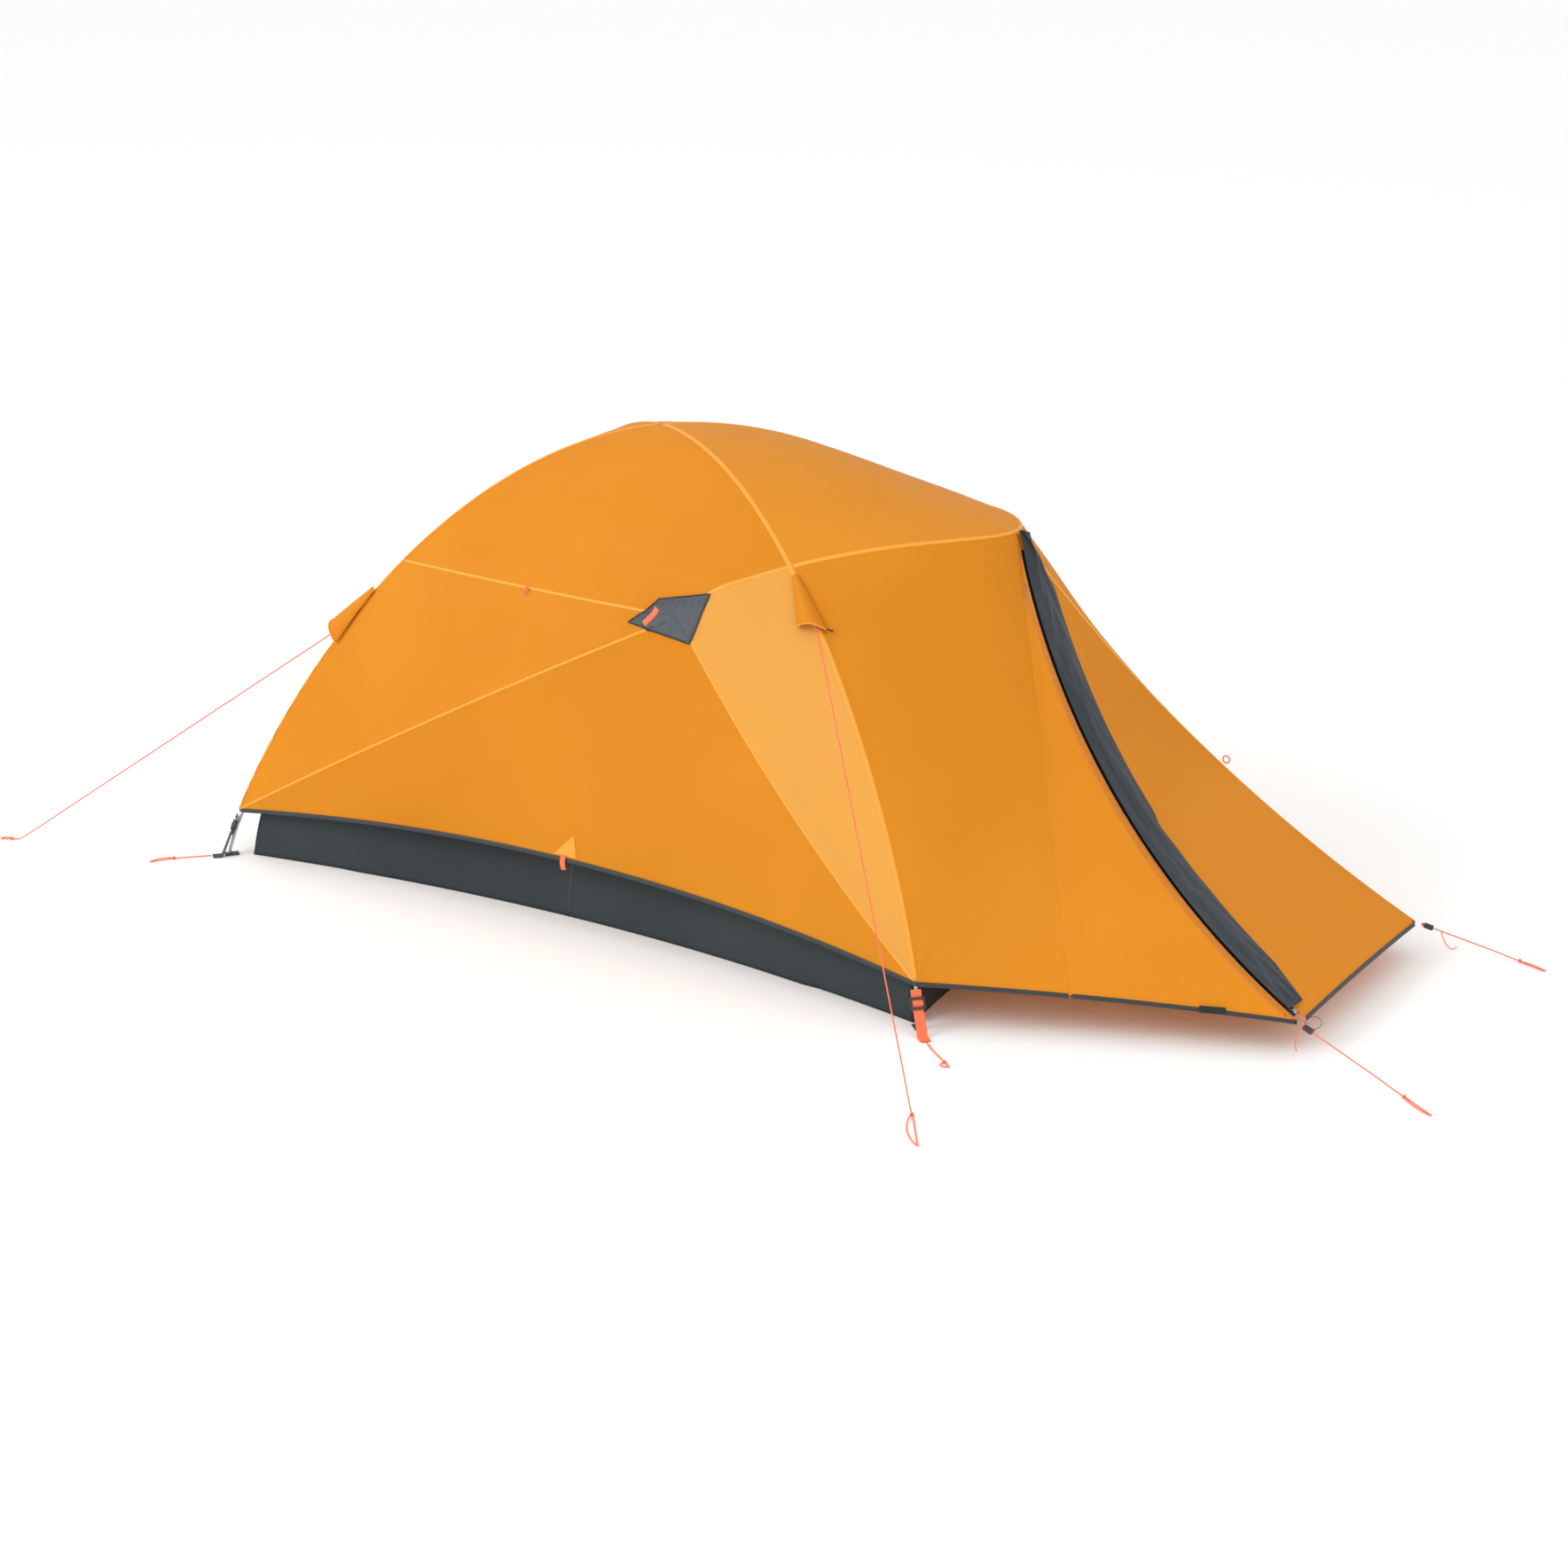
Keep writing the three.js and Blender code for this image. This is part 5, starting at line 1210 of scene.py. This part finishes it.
# ------------------------------------------------------------------ the floor's tub
def tub_foot_lines():
    inner_foot = TUB_WALL_HEIGHT + 2
    front_turn = turn_at_height(inner_foot + 8, FRONT_LEG_SHAPE)
    rear_turn = -turn_at_height(inner_foot + 20, REAR_LEG_SHAPE)

    def foot(arch, turn):
        place = arch_point(arch, turn) + leg_inward(arch, turn) * INNER_TENT_GAP
        return np.array([place[0], place[1], inner_foot])

    rear_near, rear_far = foot(FAR, rear_turn), foot(NEAR, rear_turn)
    front_near, front_far = foot(NEAR, front_turn), foot(FAR, front_turn)
    return [
        seam(rear_near, front_near, (0, TUB_SIDE_BOW, 0)),
        seam(front_near, front_far, (-TUB_END_BOW, 0, 0)),
        seam(front_far, rear_far, (0, -TUB_SIDE_BOW, 0)),
        seam(rear_far, rear_near, (TUB_END_BOW, 0, 0)),
    ]


FOOT_LINES = tub_foot_lines()


def make_tub():
    """Coated floor cloth turned up into a wall, with a slack lean, corner pleats and a sewn seam up its near wall.
    """
    per_side, rows = (120, 70, 120, 70), 16
    ring = np.vstack([line(np.linspace(0, 1, n, endpoint=False)) for line, n in zip(FOOT_LINES, per_side)])
    place_share = np.concatenate([np.linspace(0, 1, n, endpoint=False) for n in per_side])
    levels = []
    for k in range(rows):
        h = k / (rows - 1)
        reach = TUB_TOP_INSET * (1 - h)
        belly = 5.0 * math.sin(math.pi * h) * hump(place_share) ** 0.5
        crease = 1.6 * np.sin(place_share * 90 + 3 * h) * np.exp(-np.minimum(place_share, 1 - place_share) / 0.05)
        swell = 1.5 * np.sin(place_share * 23 + 2.2 * h + 1) * math.sin(math.pi * h)
        grow = reach + (belly + crease + swell) * min(1.0, 6 * h)
        x = ring[:, 0] + np.sign(ring[:, 0]) * grow * (np.abs(ring[:, 0]) > 700)
        y = ring[:, 1] + np.sign(ring[:, 1]) * grow
        levels.append(point(x, y, 0.4 + (TUB_WALL_HEIGHT - 0.4) * h))
    count = len(ring)
    vertices = on_ground(np.vstack(levels))
    around = np.concatenate([[0], np.cumsum(np.linalg.norm(np.diff(ring, axis=0), axis=1))]) * 0.001
    uv = np.stack([np.tile(around, rows), np.repeat(np.linspace(0, 0.19, rows), count)], 1)
    faces = grid_faces(rows, count, closed=True)
    wall = mesh_piece("tub_floor_cloth", vertices, faces, uv=uv)
    work = bmesh.new()
    work.from_mesh(wall.data)
    low = [v for v in work.verts if v.co.z < 0.00041]
    edges = [e for e in work.edges if e.verts[0] in low and e.verts[1] in low]
    filled = bmesh.ops.contextual_create(work, geom=edges)
    bmesh.ops.triangulate(work, faces=filled["faces"])
    layer = work.loops.layers.uv.active
    for face in work.faces:
        if abs(face.normal.z) > 0.9:
            for loop in face.loops:
                loop[layer].uv = (loop.vert.co.x, loop.vert.co.y)
    bmesh.ops.recalc_face_normals(work, faces=work.faces)
    work.to_mesh(wall.data)
    work.free()
    wall.data.polygons.foreach_set("use_smooth", [True] * len(wall.data.polygons))
    finish_piece(wall, TENT, coated_floor, ["tub_floor"])

    face = ClothFace(wall)
    seam_x = np.linspace(4, TUB_WALL_HEIGHT - 4, 14)
    spot = FOOT_LINES[0](0.472)
    upright = np.array([[spot[0], spot[1] - TUB_TOP_INSET * (1 - z / TUB_WALL_HEIGHT) - 4, z] for z in seam_x])
    strip = lay_strip("tub_wall_seam", face, on_ground(upright), 0.008, 0.0008)
    finish_piece(strip, TENT, binding, ())


make_tub()


# ------------------------------------------------------------------ the inner tent
def hang_inner_tent():
    """Light breathable cloth hung under the poles, with a zipped doorway into the porch."""
    front_turn = turn_at_height(TUB_WALL_HEIGHT + 10, FRONT_LEG_SHAPE)
    rear_turn = -turn_at_height(TUB_WALL_HEIGHT + 22, REAR_LEG_SHAPE)
    foot_z = TUB_WALL_HEIGHT + 2

    def leg(arch, turn):
        def at(t):
            angle = mix(turn, CROSSING_TURN, np.asarray(t, float))
            place = arch_point(arch, angle) + leg_inward(arch, angle) * INNER_TENT_GAP
            place[..., 2] = np.maximum(place[..., 2], foot_z)
            return place
        return at

    top = arch_point(NEAR, CROSSING_TURN) + leg_inward(NEAR, CROSSING_TURN) * INNER_TENT_GAP
    rear_near, rear_far = leg(FAR, rear_turn), leg(NEAR, rear_turn)
    front_near, front_far = leg(NEAR, front_turn), leg(FAR, front_turn)
    walls = [
        ("inner_wall_near", FOOT_LINES[0], rear_near, front_near),
        ("inner_wall_far", FOOT_LINES[2], front_far, rear_far),
        ("inner_wall_rear", FOOT_LINES[3], rear_far, rear_near),
    ]
    even = np.linspace(0, 1, 49)
    panels = [panel_grid(stretched(line, still(top), left, right), even, even, 90 + k, 8.0)
              for k, (_, line, left, right) in enumerate(walls)]
    cloth = sewn_cloth("inner_tent_cloth", panels)
    finish_piece(cloth, TENT, inner_cloth, [name for name, *_ in walls])

    door_wall = stretched(FOOT_LINES[1], still(top), front_near, front_far)
    us, vs = np.linspace(0, 1, 65), np.linspace(0, 1, 81)
    places, uv = panel_grid(door_wall, us, vs, 95, 3.0)
    left, right, sill, head = 0.25, 0.75, 0.1, 0.6
    keep = []
    for j in range(80):
        for i in range(64):
            u, v = (us[i] + us[i + 1]) / 2, (vs[j] + vs[j + 1]) / 2
            if not (left < u < right and sill < v < head):
                a = j * 65 + i
                keep.append((a, a + 1, a + 66, a + 65))
    wall = mesh_piece("inner_front_cloth", on_ground(places.reshape(-1, 3)), keep, uv=uv.reshape(-1, 2))
    weld(wall)
    finish_piece(wall, TENT, inner_cloth, ["inner_wall_front"])

    low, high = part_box("inner_door")
    door_nodes = [v.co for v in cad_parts["inner_door"].data.vertices]
    corners = [Vector((high.x, low.y, low.z)), Vector((high.x, high.y, low.z)),
               Vector((low.x, low.y, high.z)), Vector((low.x, high.y, high.z))]
    near_foot, far_foot, near_head, far_head = (
        np.array(min(door_nodes, key=lambda p, c=c: (p - c).length)) for c in corners)
    u, v = np.meshgrid(np.linspace(0, 1, 45), np.linspace(0, 1, 49))
    flat = lerp(lerp(near_foot, far_foot, u), lerp(near_head, far_head, u), v)
    edge = np.clip(np.minimum(np.minimum(u, 1 - u), np.minimum(v, 1 - v)) / 0.1, 0, 1)
    out = unit(np.cross(far_foot - near_foot, near_head - near_foot))
    out = out * (1 if out[0] > 0 else -1)
    slack_door = (0.006 * np.sin(6 * v + 2 * u) * np.sin(5 * u + 1) - 0.004) * edge
    cloth_door = mesh_piece("inner_door_cloth", (flat + out * slack_door[..., None]).reshape(-1, 3),
                            grid_faces(49, 45), uv=np.stack([u * 0.54, v * 0.7], -1).reshape(-1, 2))
    weld(cloth_door)
    finish_piece(cloth_door, "inner_door_panel", inner_cloth, ["inner_door"])


hang_inner_tent()


# ------------------------------------------------------------------ the porch zip
def make_zip():
    """Zip tape with its coil, the piped edge of the door, and the storm flap over them."""
    t = np.linspace(0.012, 0.965, 150)
    place, along, across, out = zip_frame(t)

    def band(name, start, width, lift, material, body=TENT, replaces=(), crown=0.6):
        section = [(0.0, 0.0), (0.1, crown), (0.5, crown * 1.3), (0.9, crown), (1.0, 0.0), (0.9, -0.5), (0.1, -0.5)]
        columns = [place + across * (start + width * s) + out * (lift + h) for s, h in section]
        vertices = on_ground(np.stack(columns, 1).reshape(-1, 3))
        count = len(section)
        faces = grid_faces(len(t), count, closed=True)
        faces += [tuple(reversed(range(count))), tuple(range((len(t) - 1) * count, len(t) * count))]
        run = np.concatenate([[0], np.cumsum(np.linalg.norm(np.diff(place, axis=0), axis=1))]) * 0.001
        uv = np.stack([np.repeat(run, count), np.tile([s * width * 0.001 for s, _ in section], len(t))], 1)
        piece = mesh_piece(name, vertices, faces, uv=uv)
        work = bmesh.new()
        work.from_mesh(piece.data)
        bmesh.ops.recalc_face_normals(work, faces=work.faces)
        work.to_mesh(piece.data)
        work.free()
        return finish_piece(piece, body, material, replaces)

    half = ZIP_TAPE_WIDTH / 2
    band("zip_tape_door_side", SEAM_GAP, half - 1.2, -0.4, zip_cloth, replaces=["zip_tape"])
    band("zip_tape_front_side", SEAM_GAP + half + 1.2, half - 1.2 + SEAM_GAP, -0.4, zip_cloth)

    coil_t = np.linspace(0.02, 0.96, 480)
    c_place, _, c_across, c_out = zip_frame(coil_t)
    zigzag = np.where(np.arange(480) % 2, 1.5, -1.5)[:, None]
    coil = c_place + c_across * (SEAM_GAP + half + zigzag) + c_out * 0.4
    finish_piece(tube("zip_coil", on_ground(coil), 0.0009, sides=5), TENT, zip_cloth, ())

    u, v = np.meshgrid(np.linspace(0, 1, 41), np.linspace(0, 1, 261))
    t_flap = mix(0.025, 0.998, v)
    reach = u * (FRONT_PANEL_START + STORM_FLAP_OVER_FRONT * np.interp(v, [0, 0.08, 0.9, 1], [0.6, 1, 1, 0.75]))
    near_part = zip_offset(t_flap, SEAM_GAP + reach, 0 * reach)
    row_span = front_panel(np.zeros_like(v), t_flap) - front_panel(np.ones_like(v), t_flap)
    row_width = np.linalg.norm(row_span, axis=-1)
    share = np.clip((reach - FRONT_PANEL_START) / np.maximum(row_width, 1), 0, 0.8)
    far_part = front_panel(share, t_flap)
    places = np.where((reach > FRONT_PANEL_START)[..., None], far_part, near_part)
    away = zip_frame(t_flap)[3]
    crown = np.interp(u, [0, 0.04, 0.35, 0.62, 0.9, 1.0], [8.2, 9.2, 11.5, 10.5, 4.2, 1.8])
    top_wrinkle = np.exp(-((1 - v) / 0.16) ** 2)
    foot_wrinkle = np.exp(-(v / 0.13) ** 2)
    wrinkle = (2.6 * np.sin(60 * v + 5 * u + 2 * np.sin(9 * u)) * (0.25 + top_wrinkle + 0.8 * foot_wrinkle)
               + 1.5 * np.sin(24 * v - 7 * u + 1) * (0.4 + top_wrinkle)
               + 1.2 * np.sin(11 * u + 17 * v) * np.sin(4 * v)) * np.clip(np.minimum(u, 1 - u) / 0.12, 0.12, 1)
    places = places + away * (crown + np.maximum(wrinkle, -2.2))[..., None]
    flap = mesh_piece("storm_flap", on_ground(places.reshape(-1, 3)), grid_faces(261, 41),
                      uv=np.stack([u * 0.118, v * 1.42], -1).reshape(-1, 2))
    weld(flap, 0.00001)
    thicken(flap, 0.0009)
    finish_piece(flap, TENT, storm_flap_cloth, ["zip_flap"])

    t_door = np.linspace(0.0, DOOR_EDGE_TOP, 120)
    piping = zip_offset(t_door, np.full(120, -1.5), np.full(120, 0.6))
    finish_piece(tube("door_edge_piping", on_ground(piping), 0.0019, sides=8), "porch_door_flap", rust_piping, ())
    t_seam = np.linspace(0.02, 0.96, 110)
    seam_places = on_ground(near_ridge(t_seam) - zip_frame(t_seam)[2] * DOOR_SEAM_INSET)
    inset = lay_strip("door_edge_seam", door_face, seam_places, 0.007, 0.0008)
    finish_piece(inset, "porch_door_flap", rust_piping, ())


make_zip()


def finish_fittings():
    """The frame's own hard parts keep their shape and take their finish."""
    finishes = {
        "arch_pole_upper": pole_alloy, "arch_pole_lower": pole_alloy, "brow_pole": pole_alloy,
        "apex_clip": black_acetal, "zip_slider": slider_metal, "inner_door_slider": slider_metal,
        "zip_pull": orange_cord, "porch_ridge_loop": orange_cord,
        "line_lock_near": black_acetal, "line_lock_far": black_acetal,
    }
    for end in ("front", "rear"):
        for label in ("near", "far"):
            finishes[f"corner_tab_{end}_{label}"] = dark_webbing
            finishes[f"corner_strap_{end}_{label}"] = orange_webbing if end == "front" else dark_webbing
            finishes[f"ladder_buckle_{end}_{label}"] = black_acetal
    for name, material in finishes.items():
        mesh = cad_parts[name].data
        mesh.materials.clear()
        mesh.materials.append(material)

    tag = porch_hem(NEAR)(0.775)
    across = unit(porch_hem(NEAR)(0.8) - porch_hem(NEAR)(0.75))
    down = np.array([0, 0, -1.0])
    outward = unit(np.cross(across, down))
    outward = outward * (1 if outward[1] < 0 else -1)
    flat_tab("porch_hem_label", np.array([tag + outward * 6.4 - down * 12, tag + outward * 6.8 - down * 4,
                                          tag + outward * 7.4 + down * 5]), 62, across, blank_label,
             body="porch_door_flap", thickness=1.0)


finish_fittings()


# ------------------------------------------------------------------ floor, ground and light
def set_stage():
    """A plain white floor sweep, a broad light from the left and soft light all round."""
    bpy.ops.mesh.primitive_grid_add(x_subdivisions=8, y_subdivisions=8, size=120, location=(0, 0, -0.0012))
    floor = bpy.context.object
    floor.name = "studio_floor"
    material, tree, output = blank_material("matt_white_floor")
    paint = node(tree, "ShaderNodeBsdfPrincipled",
                 {"Base Color": linear("#F6F6F5"), "Roughness": 0.9, "Specular IOR Level": 0.1})
    tree.links.new(paint.outputs[0], output.inputs[0])
    floor.data.materials.append(material)

    world = bpy.data.worlds.new("studio")
    bpy.context.scene.world = world
    world.use_nodes = True
    sky = world.node_tree.nodes["Background"]
    sky.inputs["Color"].default_value = (1, 1, 1, 1)
    sky.inputs["Strength"].default_value = 1.05

    for name, place, aim, size, power in (
        ("key_light", (-4.5, -6.5, 5.5), (0, 0, 0.4), 4.5, 330),
        ("fill_light", (6.5, -4.0, 3.0), (0.4, 0, 0.4), 4.0, 60),
    ):
        lamp = bpy.data.lights.new(name, "AREA")
        lamp.size = size
        lamp.energy = power
        stand = bpy.data.objects.new(name, lamp)
        bpy.context.scene.collection.objects.link(stand)
        stand.location = place
        stand.rotation_mode = "QUATERNION"
        stand.rotation_quaternion = (Vector(aim) - Vector(place)).to_track_quat("-Z", "Y")
    bpy.context.scene.view_settings.view_transform = "Standard"


set_stage()
